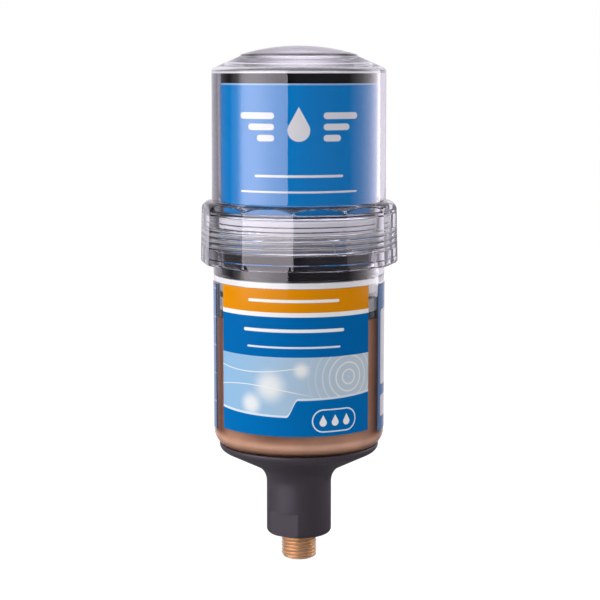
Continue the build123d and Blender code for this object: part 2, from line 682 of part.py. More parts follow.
def drive_lid():
    """The lid of the drive unit, with its spigot, the dial holes and the window's seat."""
    spigot_r = HOUSING_UPPER_INNER_R - FIT_GAP
    lid = turned(
        (0, LID_BOTTOM, 0),
        (HOUSING_R, LID_BOTTOM, 0),
        (HOUSING_R, DRIVE_TOP, LID_EDGE_ROUND),
        (0, DRIVE_TOP, 0),
    )
    lid += tube(spigot_r, spigot_r - LID_SPIGOT_WALL, BOARD_TOP, LID_BOTTOM)
    for place in dial_places():
        lid -= post(DIAL_R + DIAL_GAP, LID_BOTTOM - SLIVER, DRIVE_TOP + SLIVER, place)
    lid -= window_blank(0, DRIVE_TOP - WINDOW_THICKNESS, DRIVE_TOP + SLIVER)
    lid -= window_blank(WINDOW_LEDGE, LID_BOTTOM - SLIVER, DRIVE_TOP)
    return lid


def window_blank(inset, bottom, top):
    """A long block with round ends, in the place of the status window."""
    width = WINDOW_WIDTH - 2 * inset
    length = WINDOW_LENGTH - 2 * inset
    outline = Rot(0, 0, 90) * SlotOverall(length, width)
    return Pos(WINDOW_X, 0, bottom) * extrude(outline, top - bottom)


def status_window():
    """The clear window over the status lamps."""
    return window_blank(0, DRIVE_TOP - WINDOW_THICKNESS, DRIVE_TOP)


# ---- Setting dials
def dial(place):
    """A setting dial with a screwdriver slot, held under the lid by its flange."""
    flange_top = LID_BOTTOM - DIAL_GAP
    knob = post(DIAL_R, flange_top, DRIVE_TOP + DIAL_RISE, place)
    flange = post(DIAL_FLANGE_R, flange_top - DIAL_FLANGE_HEIGHT, flange_top, place)
    shaft_top = flange_top - DIAL_FLANGE_HEIGHT
    shaft = post(DIAL_SHAFT_R, shaft_top - DIAL_SHAFT_LENGTH, shaft_top, place)
    slot_bottom = DRIVE_TOP + DIAL_RISE - DIAL_SLOT_DEPTH
    slot = slab(DIAL_SLOT_WIDTH, 1.5 * DIAL_R, slot_bottom, DRIVE_TOP + DIAL_RISE + SLIVER, place)
    return knob + flange + shaft - slot


def selector_switch(place):
    """The rotary switch under a dial."""
    top = BOARD_TOP + SWITCH_HEIGHT
    socket = post(DIAL_SHAFT_R + RUNNING_GAP, BOARD_TOP + DIAL_GAP, top + SLIVER, place)
    return slab(SWITCH_SIDE, SWITCH_SIDE, BOARD_TOP, top, place) - socket


# ---- Motor, cells and electronics
def motor_can():
    """The motor's can, with the bearing hole for its shaft."""
    can = post(MOTOR_R, TRAY_TOP, MOTOR_TOP, MOTOR_PLACE)
    hole_top = TRAY_TOP + MOTOR_SHAFT_SET_IN
    return can - post(MOTOR_SHAFT_R + RUNNING_GAP, TRAY_TOP - SLIVER, hole_top, MOTOR_PLACE)


def motor_leads():
    """The two stiff leads from the motor up to the circuit board."""
    places = [(MOTOR_PLACE[0] + side * LEAD_SPACING / 2, MOTOR_PLACE[1]) for side in (-1, 1)]
    return [post(LEAD_R, MOTOR_TOP, BOARD_BOTTOM, place) for place in places]


def battery_cell(place):
    """A round cell with its positive end up."""
    body_top = CELL_BOTTOM + CELL_LENGTH
    return post(CELL_R, CELL_BOTTOM, body_top, place) + post(CELL_NUB_R, body_top, CELL_TOP, place)


def battery_contacts():
    """The contact plates above and below the cells."""
    plates = []
    for place in cell_places():
        plates.append(post(CONTACT_R, TRAY_TOP, SPRING_BOTTOM, place))
        plates.append(post(CONTACT_R, CELL_TOP, BOARD_BOTTOM, place))
    return plates


def battery_springs():
    """The flat coil springs that press the cells up: three touching turns of wire each."""
    coils = []
    turns = round(SPRING_HEIGHT / (2 * SPRING_WIRE_R))
    inner_r = SPRING_R - 2 * SPRING_WIRE_R
    for place in cell_places():
        coil = None
        for turn in range(turns):
            bottom = SPRING_BOTTOM + SPRING_HEIGHT * turn / turns
            ring = tube(SPRING_R, inner_r, bottom, bottom + SPRING_HEIGHT / turns, place)
            coil = ring if coil is None else coil + ring
        coils.append(coil)
    return coils


def circuit_board():
    """The round circuit board under the lid."""
    return post(HOUSING_UPPER_INNER_R - BOARD_GAP, BOARD_BOTTOM, BOARD_TOP)


def controller_chip():
    """The controller on the circuit board."""
    return slab(CHIP_LENGTH, CHIP_WIDTH, BOARD_TOP, BOARD_TOP + CHIP_HEIGHT, (CHIP_X, CHIP_Y))


def status_led(step):
    """A status lamp with a round head, under the window."""
    place = (WINDOW_X, step * LED_SPACING)
    straight = LED_HEIGHT - LED_R
    head = Pos(place[0], place[1], BOARD_TOP + straight) * Sphere(LED_R)
    above = post(LED_R + 1, BOARD_TOP + straight, BOARD_TOP + LED_HEIGHT + 1, place)
    return post(LED_R, BOARD_TOP, BOARD_TOP + straight, place) + (head & above)


# ---- Labels
def drive_label():
    """The label that wraps the drive unit."""
    bottom, top = LIP_TOP + DRIVE_LABEL_ABOVE_LIP, DRIVE_TOP - DRIVE_LABEL_BELOW_TOP
    return tube(HOUSING_R + LABEL_THICKNESS, HOUSING_R + ADHESIVE, bottom, top)


def canister_label(start, end, above_seat, height):
    """A label on the canister."""
    bottom = FLANGE_SEAT + above_seat
    return sector(CANISTER_R + LABEL_THICKNESS, CANISTER_R + ADHESIVE, bottom, bottom + height, start, end)


def canister_label_front():
    """The picture label on the front of the canister."""
    return canister_label(
        FRONT_LABEL_START_ANGLE, FRONT_LABEL_END_ANGLE, FRONT_LABEL_ABOVE_SEAT, FRONT_LABEL_HEIGHT
    )


def canister_label_back():
    """The label round the back of the canister."""
    return canister_label(
        BACK_LABEL_START_ANGLE, BACK_LABEL_END_ANGLE, BACK_LABEL_ABOVE_SEAT, BACK_LABEL_HEIGHT
    )


# ---- Protective cover
def collar_blank():
    """The twelve-sided collar, whose facets run into a round shoulder."""
    corner_factor = 1 / cos(pi / COLLAR_SIDES)
    top_r = COLLAR_FLAT_R * corner_factor
    bottom_r = (COLLAR_FLAT_R + COLLAR_DRAFT) * corner_factor
    low_side = RegularPolygon(bottom_r, COLLAR_SIDES, rotation=COLLAR_TURN)
    high_side = RegularPolygon(top_r, COLLAR_SIDES, rotation=COLLAR_TURN)
    prism = loft([Pos(0, 0, COLLAR_BOTTOM) * low_side, Pos(0, 0, COLLAR_TOP) * high_side], ruled=True)
    rounded = turned(
        (0, COLLAR_BOTTOM, 0),
        (bottom_r - COLLAR_CHAMFER, COLLAR_BOTTOM, 0),
        (bottom_r, COLLAR_BOTTOM + COLLAR_CHAMFER, 0),
        (top_r, COLLAR_TOP, COLLAR_SHOULDER_ROUND),
        (0, COLLAR_TOP, 0),
    )
    return prism & rounded


def cover_shape(inset):
    """The cover's wall, shoulder and dome, drawn in all round by an inset."""
    slope = COVER_CONE_RISE / (COVER_INNER_R + COVER_WALL - COVER_LEDGE_R)
    drop = inset * sqrt(1 + slope**2) - inset * slope
    wall_r = COVER_INNER_R + COVER_WALL - inset
    shoulder = DRIVE_TOP + COVER_HEADROOM - drop
    ledge = shoulder + COVER_CONE_RISE
    ledge_r = COVER_LEDGE_R - inset
    step = 0 if inset else COVER_STEP
    dome_r = ledge_r - COVER_DOME_INSET
    body = turned(
        (0, SEAL_SEAT, 0),
        (wall_r, SEAL_SEAT, 0),
        (wall_r - COVER_DRAFT, shoulder, COVER_SHOULDER_ROUND),
        (ledge_r, ledge, 0),
        (dome_r, ledge + step, 0),
        (0, ledge + step, 0),
    )
    return body + cap(dome_r, ledge + step, COVER_DOME_RISE)


def protective_cover():
    """The clear cover: dome, wall and threaded collar in one moulding."""
    body = cover_shape(0) + collar_blank()
    body -= cover_shape(COVER_WALL)
    return body - turned(
        (0, COLLAR_BOTTOM - SLIVER, 0),
        (COLLAR_BORE_R + COLLAR_CHAMFER, COLLAR_BOTTOM - SLIVER, 0),
        (COLLAR_BORE_R, COLLAR_BOTTOM + COLLAR_CHAMFER, 0),
        (COLLAR_BORE_R, SEAL_SEAT, 0),
        (0, SEAL_SEAT, 0),
    )


def cover_seal():
    """The O-ring on the canister's rim, outside the drive unit's lip."""
    centre_r = CANISTER_R - SEAL_WIRE_R
    return Pos(0, 0, CANISTER_RIM + SEAL_GAP + SEAL_WIRE_R) * Torus(centre_r, SEAL_WIRE_R)


def write(name, shape):
    """Writes one node's STEP file; a list becomes a group of separate solids."""
    solid = Compound(children=shape) if isinstance(shape, list) else shape
    export_step(solid, f"parts/{name}.step")


write("outlet_nipple", outlet_nipple())
write("support_flange", support_flange())
write("outlet_seal", outlet_seal())
write("canister", canister())
write("grease", grease())
write("piston", piston())
write("piston_ring", piston_ring(PISTON_BOTTOM + PISTON_RING_RISE, PISTON_RING_HEIGHT))
write("piston_lip", piston_ring(PISTON_BOTTOM, PISTON_LIP_HEIGHT))
write("spindle", spindle())
write("spindle_plate", spindle_plate())
write("spindle_gear", spindle_gear())
write("thrust_washer", thrust_washer())
write("gear_a", gear_a())
write("gear_b", gear_b())
write("gear_pins", gear_pins())
write("motor_pinion", motor_pinion())
write("motor_can", motor_can())
write("motor_leads", motor_leads())
for number, cell_place in enumerate(cell_places(), start=1):
    write(f"battery_cell_{number}", battery_cell(cell_place))
write("battery_contacts", battery_contacts())
write("battery_springs", battery_springs())
write("battery_tray", battery_tray())
write("drive_base", drive_base())
write("housing_screws", housing_screws())
write("drive_housing", drive_housing())
write("drive_lid", drive_lid())
write("drive_label", drive_label())
write("status_window", status_window())
write("circuit_board", circuit_board())
write("controller_chip", controller_chip())
for color_name, step in (("green", -1), ("yellow", 0), ("red", 1)):
    write(f"led_{color_name}", status_led(step))
for dial_name, dial_place in zip(("interval", "volume"), dial_places()):
    write(f"{dial_name}_dial", dial(dial_place))
    write(f"{dial_name}_switch", selector_switch(dial_place))
write("canister_label_front", canister_label_front())
write("canister_label_back", canister_label_back())
write("protective_cover", protective_cover())
write("cover_seal", cover_seal())
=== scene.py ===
"""Looks of a battery-driven single-point grease lubricator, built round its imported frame.

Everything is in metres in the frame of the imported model: +Z up along the axis, the front of the labels at -Y.
Sizes in the classes below are millimetres, as a maker would write them, and MM turns them to metres.
"""
import logging
import math
from dataclasses import dataclass, field
from enum import Enum
from typing import Callable, Iterable, Optional, Sequence, Union

import bmesh
import bpy
import numpy as np
from mathutils import Euler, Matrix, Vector


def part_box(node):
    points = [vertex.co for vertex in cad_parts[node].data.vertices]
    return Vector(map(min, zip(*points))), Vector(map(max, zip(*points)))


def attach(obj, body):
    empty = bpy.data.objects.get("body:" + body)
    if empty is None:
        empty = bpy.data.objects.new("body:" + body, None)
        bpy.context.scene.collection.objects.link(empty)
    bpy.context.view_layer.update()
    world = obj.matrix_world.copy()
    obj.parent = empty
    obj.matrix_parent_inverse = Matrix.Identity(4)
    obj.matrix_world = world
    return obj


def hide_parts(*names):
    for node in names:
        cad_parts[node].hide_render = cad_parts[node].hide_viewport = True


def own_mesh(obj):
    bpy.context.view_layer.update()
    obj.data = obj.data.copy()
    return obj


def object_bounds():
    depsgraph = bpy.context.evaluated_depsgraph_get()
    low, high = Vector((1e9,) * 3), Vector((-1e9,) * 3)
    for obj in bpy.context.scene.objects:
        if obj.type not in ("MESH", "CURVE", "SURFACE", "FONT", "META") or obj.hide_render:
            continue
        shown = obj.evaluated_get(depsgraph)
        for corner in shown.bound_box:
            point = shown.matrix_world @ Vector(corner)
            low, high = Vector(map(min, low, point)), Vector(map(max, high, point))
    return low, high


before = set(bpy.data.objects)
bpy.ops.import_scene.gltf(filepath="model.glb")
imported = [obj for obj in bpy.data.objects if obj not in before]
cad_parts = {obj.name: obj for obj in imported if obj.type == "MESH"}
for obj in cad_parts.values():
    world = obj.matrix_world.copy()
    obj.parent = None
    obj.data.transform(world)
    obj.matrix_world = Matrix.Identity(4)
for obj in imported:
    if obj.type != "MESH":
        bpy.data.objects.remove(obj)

LOG = logging.getLogger("lubricator")
CAD_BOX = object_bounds()
MM = 0.001
TINY = 1e-6  # under this a radius counts as none
MERGE_DISTANCE = 2e-7  # metres, within which points are one
SHARP_DEGREES = 28.0  # edges that turn by more stay sharp
NO_FLAT = 1.0  # metres, far outside any thread, for one without flats


class Slot(Enum):
    """Material slots, by kind of material."""

    CLEAR = "clear_plastic"
    BLACK = "black_plastic"
    FLANGE = "flange_plastic"
    BRASS = "brass"
    RUBBER = "black_rubber"
    WHITE = "white_plastic"
    GREASE = "grease"
    LABEL = "label_blue"
    STEEL = "steel"


class Zone(Enum):
    """What a stretch of a turned profile does, beside being turned."""

    PLAIN = 0
    THREAD = 1
    FACETED = 2
    FLATTED = 3
    WETTED = 4
    SATIN = 5
    HAZY = 6


def node_box(node: str) -> tuple[Vector, Vector]:
    """Gives a CAD node's box in millimetres.

    Args:
        node: the CAD node's name.

    Returns:
        Its lowest and its highest corner.
    """
    low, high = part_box(node)
    return low / MM, high / MM


# ---------------------------------------------------------------- nodes


def linear(hex_color: str) -> tuple[float, float, float, float]:
    """Turns an sRGB hex colour to the linear one that shaders take.

    Args:
        hex_color: six hex digits, with or without a leading #.

    Returns:
        Linear red, green and blue, and an alpha of 1.
    """
    digits = hex_color.lstrip("#")
    channels = [int(digits[i : i + 2], 16) / 255 for i in (0, 2, 4)]
    red, green, blue = (c / 12.92 if c <= 0.04045 else ((c + 0.055) / 1.055) ** 2.4 for c in channels)
    return red, green, blue, 1.0


def add_node(
    tree: bpy.types.NodeTree,
    kind: str,
    settings: Optional[dict] = None,
    inputs: Optional[dict] = None,
) -> bpy.types.Node:
    """Adds a node to a tree, with its settings, its plain inputs and its links.

    Args:
        tree: the node tree.
        kind: the node's type.
        settings: attributes to set on the node.
        inputs: a value, a socket or a Field for an input's name or number.

    Returns:
        The new node.
    """
    node = tree.nodes.new(kind)
    for name, value in (settings or {}).items():
        setattr(node, name, value)
    for key, value in (inputs or {}).items():
        value = value.socket if isinstance(value, Field) else value
        if isinstance(value, bpy.types.NodeSocket):
            tree.links.new(value, node.inputs[key])
        else:
            node.inputs[key].default_value = value
    return node


Number = Union["Field", float]
Color = Union[tuple, bpy.types.NodeSocket]


class Field:
    """A number that nodes work out: arithmetic on it adds Math nodes to its tree."""

    def __init__(self, tree: bpy.types.NodeTree, socket: bpy.types.NodeSocket) -> None:
        """Wraps a socket of a tree."""
        self.tree = tree
        self.socket = socket

    def then(self, operation: str, *others: Number) -> "Field":
        """Applies a Math operation to this number and others.

        Args:
            operation: the Math node's operation.
            others: its further operands.

        Returns:
            The result.
        """
        inputs = dict(enumerate((self, *others)))
        node = add_node(self.tree, "ShaderNodeMath", {"operation": operation}, inputs)
        return Field(self.tree, node.outputs[0])

    def __add__(self, other: Number) -> "Field":
        """Adds."""
        return self.then("ADD", other)

    def __sub__(self, other: Number) -> "Field":
        """Subtracts."""
        return self.then("SUBTRACT", other)

    def __mul__(self, other: Number) -> "Field":
        """Multiplies."""
        return self.then("MULTIPLY", other)

    def __truediv__(self, other: Number) -> "Field":
        """Divides."""
        return self.then("DIVIDE", other)

    def __abs__(self) -> "Field":
        """Drops the sign."""
        return self.then("ABSOLUTE")

    def ramp(
        self, start: Number, end: Number, low: Number = 0.0, high: Number = 1.0, shape: str = "SMOOTHSTEP"
    ) -> "Field":
        """Goes from low at start to high at end.

        Args:
            start: where the ramp begins.
            end: where it ends.
            low: the value up to the start.
            high: the value from the end on.
            shape: how it goes, smoothly unless told otherwise.

        Returns:
            The ramp's value.
        """
        node = add_node(
            self.tree,
            "ShaderNodeMapRange",
            {"interpolation_type": shape},
            {"Value": self, "From Min": start, "From Max": end, "To Min": low, "To Max": high},
        )
        return Field(self.tree, node.outputs[0])


def empty_tree(holder: Union[bpy.types.Material, bpy.types.World]) -> bpy.types.NodeTree:
    """Switches nodes on for a material or a world.

    Args:
        holder: the material or the world.

    Returns:
        Its node tree, emptied.
    """
    holder.use_nodes = True
    holder.node_tree.nodes.clear()
    return holder.node_tree


# ---------------------------------------------------------------- finishes


@dataclass(frozen=True)
class Finish:
    """A finish that one Principled shader gives, with a grain and soft patches if it has them."""

    GRAIN_DETAIL = 2.0
    MOTTLE_DETAIL = 3.0
    MOTTLE_ROUGHNESS = 0.55
    MOTTLE_RANGE = (0.3, 0.7)

    name: str
    color: str
    roughness: float = 0.4
    metallic: float = 0.0
    ior: float = 1.5
    specular: float = 0.5
    grain_mm: float = 0.0
    grain_depth_mm: float = 0.0
    mottle: float = 0.0
    mottle_mm: float = 6.0

    def material(self) -> bpy.types.Material:
        """Builds the material once, and gives the same one after that.

        Returns:
            The Blender material.
        """
        known = bpy.data.materials.get(self.name)
        if known is not None:
            return known
        made = bpy.data.materials.new(self.name)
        tree = empty_tree(made)
        add_node(tree, "ShaderNodeOutputMaterial", None, {"Surface": self.shader(tree).outputs[0]})
        return made

    def place(self, tree: bpy.types.NodeTree) -> bpy.types.NodeSocket:
        """Gives the point on the piece, in metres."""
        return add_node(tree, "ShaderNodeTexCoord").outputs["Object"]

    def shader(self, tree: bpy.types.NodeTree) -> bpy.types.Node:
        """Adds this finish's shader to a tree.

        Args:
            tree: the material's tree.

        Returns:
            The shader node.
        """
        inputs = {
            "Roughness": self.roughness,
            "Metallic": self.metallic,
            "IOR": self.ior,
            "Specular IOR Level": self.specular,
            "Base Color": self.base_color(tree),
        }
        if self.grain_depth_mm:
            inputs["Normal"] = self.grain(tree)
        return add_node(tree, "ShaderNodeBsdfPrincipled", None, inputs)

    def base_color(self, tree: bpy.types.NodeTree) -> Color:
        """Gives the colour, a little darker in soft patches where the finish is mottled.

        Args:
            tree: the material's tree.

        Returns:
            The colour, or the socket that gives it.
        """
        color = linear(self.color)
        if not self.mottle:
            return color
        cloud = add_node(
            tree, "ShaderNodeTexNoise", None,
            {
                "Vector": self.place(tree),
                "Scale": 1 / (self.mottle_mm * MM),
                "Detail": self.MOTTLE_DETAIL,
                "Roughness": self.MOTTLE_ROUGHNESS,
            },
        )
        shade = Field(tree, cloud.outputs["Fac"]).ramp(*self.MOTTLE_RANGE)
        dark = (*(channel * (1 - self.mottle) for channel in color[:3]), 1.0)
        mix = add_node(tree, "ShaderNodeMix", {"data_type": "RGBA"}, {"Factor": shade, 6: dark, 7: color})
        return mix.outputs[2]

    def grain(self, tree: bpy.types.NodeTree) -> bpy.types.NodeSocket:
        """Adds the fine relief of the surface."""
        return self.relief(tree, self.place(tree))

    def relief(self, tree: bpy.types.NodeTree, place: bpy.types.NodeSocket) -> bpy.types.NodeSocket:
        """Adds a bump of noise as coarse and as deep as the grain.

        Args:
            tree: the material's tree.
            place: the point that the noise is read at.

        Returns:
            The bumped normal.
        """
        noise = add_node(
            tree, "ShaderNodeTexNoise", None,
            {"Vector": place, "Scale": 1 / (self.grain_mm * MM), "Detail": self.GRAIN_DETAIL},
        )
        bump = {"Distance": self.grain_depth_mm * MM, "Height": noise.outputs["Fac"]}
        return add_node(tree, "ShaderNodeBump", None, bump).outputs[0]


@dataclass(frozen=True)
class TurnedMetal(Finish):
    """A metal with the fine rings that a lathe tool leaves round Z."""

    STRETCH = 0.06

    def grain(self, tree: bpy.types.NodeTree) -> bpy.types.NodeSocket:
        """Adds the tool's rings: noise squeezed along Z and drawn out round it.

        Args:
            tree: the material's tree.

        Returns:
            The bumped normal.
        """
        drawn = {"Vector": self.place(tree), "Scale": (self.STRETCH, self.STRETCH, 1.0)}
        return self.relief(tree, add_node(tree, "ShaderNodeMapping", None, drawn).outputs[0])


@dataclass(frozen=True)
class ClearPlastic(Finish):
    """Clear moulded plastic.

    Light from lamps and from matt surfaces goes straight through it, so that what it holds is lit, and what
    the eye sees through it is bent as in the real wall. Where the mould is left unpolished, on threads,
    necks and shoulders, it is milky by the attribute satin.
    """

    STRAIGHT = "#FDFDFE"

    def shader(self, tree: bpy.types.NodeTree) -> bpy.types.Node:
        """Adds the clear shader, and the straight way for lamp light.

        Args:
            tree: the material's tree.

        Returns:
            The shader node.
        """
        satin = Field(tree, add_node(tree, "ShaderNodeAttribute", {"attribute_name": "satin"}).outputs["Fac"])
        clear = add_node(
            tree, "ShaderNodeBsdfPrincipled", None,
            {
                "Base Color": linear(self.color),
                "Roughness": self.roughness,
                "IOR": self.ior,
                "Transmission Weight": satin * -1.0 + 1.0,
                "Normal": self.grain(tree),
            },
        )
        path = add_node(tree, "ShaderNodeLightPath")
        straight = add_node(tree, "ShaderNodeBsdfTransparent", None, {"Color": linear(self.STRAIGHT)})
        shown = clear
        for ray in ("Is Diffuse Ray", "Is Shadow Ray"):
            sides = {0: path.outputs[ray], 1: shown.outputs[0], 2: straight.outputs[0]}
            shown = add_node(tree, "ShaderNodeMixShader", None, sides)
        return shown


@dataclass(frozen=True)
class WettedPlastic(Finish):
    """The inner wall where grease wets it: no air lies between, so light isn't bent or thrown back there."""

    # painted shade: the brown laid over the grease seen on the slant, for the shade that the labels throw
    # between them
    tint: str = "#9C8780"
    shade_from_mm: float = 39.0
    shade_full_mm: float = 42.0
    slant_from: float = 0.18
    slant_full: float = 0.25

    def shader(self, tree: bpy.types.NodeTree) -> bpy.types.Node:
        """Adds the see-through shader, with painted shade on the grease where the upright wall is seen on the
        slant.

        Args:
            tree: the material's tree.

        Returns:
            The shader node.
        """
        # painted shade: brown over the grease where the wall is seen on the slant, above the canister's bottom
        # corner
        slant = Field(tree, add_node(tree, "ShaderNodeLayerWeight", None, {"Blend": 0.5}).outputs["Facing"])
        height = Field(tree, add_node(tree, "ShaderNodeSeparateXYZ", None, {0: self.place(tree)}).outputs[2])
        upright = height.ramp(self.shade_from_mm * MM, self.shade_full_mm * MM)
        share = slant.ramp(self.slant_from, self.slant_full) * upright
        colors = {"Factor": share, 6: linear(self.color), 7: linear(self.tint)}
        mix = add_node(tree, "ShaderNodeMix", {"data_type": "RGBA"}, colors)
        return add_node(tree, "ShaderNodeBsdfTransparent", None, {"Color": mix.outputs[2]})


@dataclass(frozen=True)
class PrintColors:
    """The inks of the labels."""

    blue: str = "#0087D2"
    deep_blue: str = "#0067AE"
    low_blue: str = "#006DB4"
    edge_blue: str = "#9CC4E6"
    rear_blue: str = "#5577A6"
    sky: str = "#8FBBE0"
    pale_sky: str = "#C6D3DD"
    orange: str = "#E48F06"
    white: str = "#F4F4F2"
    line_white: str = "#DCE8F4"
    panel: str = "#E4DDE4"
    tick: str = "#8FAACB"


INKS = PrintColors()


class Canvas:
    """A label's print, drawn on its millimetre map: shapes are masks, and each one paints over the last."""

    EDGE = 0.05
    DROP_TIP = 2.1
    DROP_SHOULDER = 0.45
    DROP_HALF = 0.89

    def __init__(self, tree: bpy.types.NodeTree, ground: str) -> None:
        """Starts with a ground colour.

        Args:
            tree: the material's tree.
            ground: the label's ground colour, as sRGB hex.
        """
        self.tree = tree
        sheet = add_node(tree, "ShaderNodeUVMap", {"uv_map": Label.MAP})
        parts = add_node(tree, "ShaderNodeSeparateXYZ", None, {0: sheet.outputs[0]})
        self.u, self.v = (Field(tree, parts.outputs[i]) * Label.MAP_MM for i in range(2))
        self.color: Color = linear(ground)

    def paint(self, mask: Number, ink: Union[str, bpy.types.NodeSocket]) -> None:
        """Paints an ink where the mask is 1.

        Args:
            mask: 0 to 1 over the label.
            ink: an sRGB hex colour or a colour socket.
        """
        over = linear(ink) if isinstance(ink, str) else ink
        colors = {"Factor": mask, 6: self.color, 7: over}
        self.color = add_node(self.tree, "ShaderNodeMix", {"data_type": "RGBA"}, colors).outputs[2]

    def inside(self, distance: Field) -> Field:
        """Turns a distance from an outline, negative inside it, to a mask."""
        return distance.ramp(-self.EDGE, self.EDGE, 1.0, 0.0)

    def above(self, height: Number) -> Field:
        """Masks what lies above a height."""
        return (self.v - height).ramp(-self.EDGE, self.EDGE)

    def band(self, low: Number, high: Number) -> Field:
        """Masks a level band between two heights."""
        return self.above(low) * self.inside(self.v - high)

    def box_distance(self, u: float, v: float, width: float, height: float, corner: float) -> Field:
        """Works out the distance from a rounded box.

        Args:
            u: the box's middle across the label.
            v: its middle over the label's foot.
            width: its width.
            height: its height.
            corner: its corners' radius.

        Returns:
            The distance in millimetres, negative inside the box.
        """
        across = (abs(self.u - u) - (width / 2 - corner)).then("MAXIMUM", 0.0)
        along = (abs(self.v - v) - (height / 2 - corner)).then("MAXIMUM", 0.0)
        return (across * across + along * along).then("SQRT") - corner

    def bar(self, u: float, v: float, width: float, height: float, ink: str = INKS.white) -> None:
        """Paints a level bar with round ends, given by its middle and its size."""
        self.paint(self.inside(self.box_distance(u, v, width, height, height / 2)), ink)

    def radius_from(self, u: float, v: float) -> Field:
        """Gives the distance from a point of the label."""
        across, along = self.u - u, self.v - v
        return (across * across + along * along).then("SQRT")

    def drop(self, u: float, v: float, radius: float) -> None:
        """Paints a white drop: a disc with a point that rises from it.

        Args:
            u: the disc's middle across the label.
            v: its middle over the label's foot.
            radius: its radius. The tip rises a little over twice as far from its middle.
        """
        disc = self.inside(self.radius_from(u, v) - radius)
        tip = v + self.DROP_TIP * radius
        shoulder = v + self.DROP_SHOULDER * radius
        half = (self.v - tip) * (-self.DROP_HALF * radius / (tip - shoulder))
        point = self.inside(abs(self.u - u) - half) * self.band(shoulder, tip)
        self.paint(disc.then("MAXIMUM", point), INKS.white)

    def stroke(self, height: Field, width: float) -> Field:
        """Masks a line that follows a height worked out from u."""
        return self.inside(abs(self.v - height) - width / 2)


@dataclass(frozen=True)
class Print(Finish):
    """A printed film with a smooth lacquer; the drawing tells one label from another."""

    draw: Optional[Callable[[Canvas], None]] = None

    def base_color(self, tree: bpy.types.NodeTree) -> Color:
        """Draws the print.

        Args:
            tree: the material's tree.

        Returns:
            The print's colour.
        """
        canvas = Canvas(tree, self.color)
        if self.draw is not None:
            self.draw(canvas)
        return canvas.color


def draw_drive_label(canvas: Canvas) -> None:
    """Draws the wrap label: a drop between bars on the front, two rules below it, and a thin pale top edge.

    Args:
        canvas: the label's canvas.
    """
    drop_v, drop_r = 29.9, 3.9
    bar_start, bar_height, top_bar, bar_step = 8.6, 2.3, 35.0, 3.9
    canvas.paint(canvas.band(45.6, 47.0), INKS.edge_blue)
    canvas.drop(0.0, drop_v, drop_r)
    for side in (-1, 1):
        for step, length in enumerate((13.5, 10.0, 6.5)):
            canvas.bar(side * (bar_start + length / 2), top_bar - step * bar_step, length, bar_height)
    for level, length, height in ((13.9, 32.0, 0.9), (8.3, 44.0, 0.7)):
        canvas.bar(0.0, level, length, height)


def draw_front_label(canvas: Canvas) -> None:
    """Draws the canister's front label from its foot up.

    A blue foot whose upper edge steps up past the middle, with a badge of three drops; a pale picture of
    lights, ripples and waves; a deep-blue field with two rules; a white rule; an orange band with a bar.

    Args:
        canvas: the label's canvas.
    """
    foot, step, bow, foot_top = 7.3, 6.2, 0.0012, 30.0
    picture_top, field_top, rule_top, label_top = 28.7, 43.1, 44.7, 60.0
    canvas.paint(canvas.band(-1.0, foot_top), INKS.low_blue)
    edge = canvas.u.ramp(-2.4, 1.8, 0.0, step) + canvas.u * canvas.u * bow + foot
    above = canvas.above(edge)
    colors = {"Factor": canvas.u.ramp(-34.0, 34.0), 6: linear(INKS.sky), 7: linear(INKS.pale_sky)}
    sky = add_node(canvas.tree, "ShaderNodeMix", {"data_type": "RGBA"}, colors)
    canvas.paint(above, sky.outputs[2])
    for u, v, radius in ((-8.5, 18.0, 6.2), (-16.0, 11.2, 4.4), (3.0, 24.0, 3.2)):
        light = canvas.radius_from(u, v).ramp(radius * 0.25, radius * 1.25, 0.85, 0.0)
        canvas.paint(light * above, INKS.white)
    ripple_step = 2.6
    centre = canvas.radius_from(21.0, 21.0)
    crest = abs((centre * (1 / ripple_step)).then("FRACT") - 0.5).ramp(0.36, 0.42)
    canvas.paint(crest * centre.ramp(3.0, 19.0, 0.75, 0.0) * above, INKS.white)
    for level, swing in ((24.5, 1.6), (16.0, -2.2)):
        wave = (canvas.u * 0.09).then("SINE") * swing + level
        canvas.paint(canvas.stroke(wave, 0.35) * above * canvas.u.ramp(-2.0, 10.0, 0.8, 0.0), INKS.white)
    canvas.paint(canvas.stroke(edge, 0.8), INKS.line_white)
    canvas.paint(canvas.band(picture_top, field_top), INKS.deep_blue)
    canvas.paint(canvas.band(field_top, rule_top), INKS.white)
    canvas.paint(canvas.band(rule_top, label_top), INKS.orange)
    canvas.bar(0.0, 48.8, 34.0, 1.1)
    canvas.bar(0.0, 38.2, 38.0, 1.2)
    canvas.bar(0.0, 32.2, 35.0, 0.7, INKS.line_white)
    badge_u, badge_v = 15.5, 5.6
    outline = abs(canvas.box_distance(badge_u, badge_v, 17.0, 8.0, 4.0)) - 0.25
    canvas.paint(canvas.inside(outline), INKS.line_white)
    for place in (-4.6, 0.0, 4.6):
        canvas.drop(badge_u + place, badge_v - 0.7, 1.35)


def draw_rear_label(canvas: Canvas) -> None:
    """Draws the rear label: graduation ticks down one edge, plain panels by the other, an empty grid between.

    Args:
        canvas: the label's canvas.
    """
    half = Label.rear_half_width()
    tick_step, tick_length = 10.5, 6.0
    tick = abs((canvas.v * (1 / tick_step)).then("FRACT") - 0.5).ramp(0.47, 0.48)
    canvas.paint(tick * canvas.u.ramp(half - tick_length, half - tick_length + 0.1), INKS.tick)
    for low, high in ((17.0, 45.0), (5.0, 13.0)):
        panel = canvas.box_distance(-half + 14.6, (low + high) / 2, 20.0, high - low, 1.2)
        canvas.paint(canvas.inside(panel), INKS.panel)
    for column in range(3):
        for row in range(4):
            cell = canvas.box_distance(-half + 42.0 + column * 17.0, 11.0 + row * tick_step, 14.5, 8.4, 0.8)
            canvas.paint(canvas.inside(abs(cell) - 0.15), INKS.line_white)


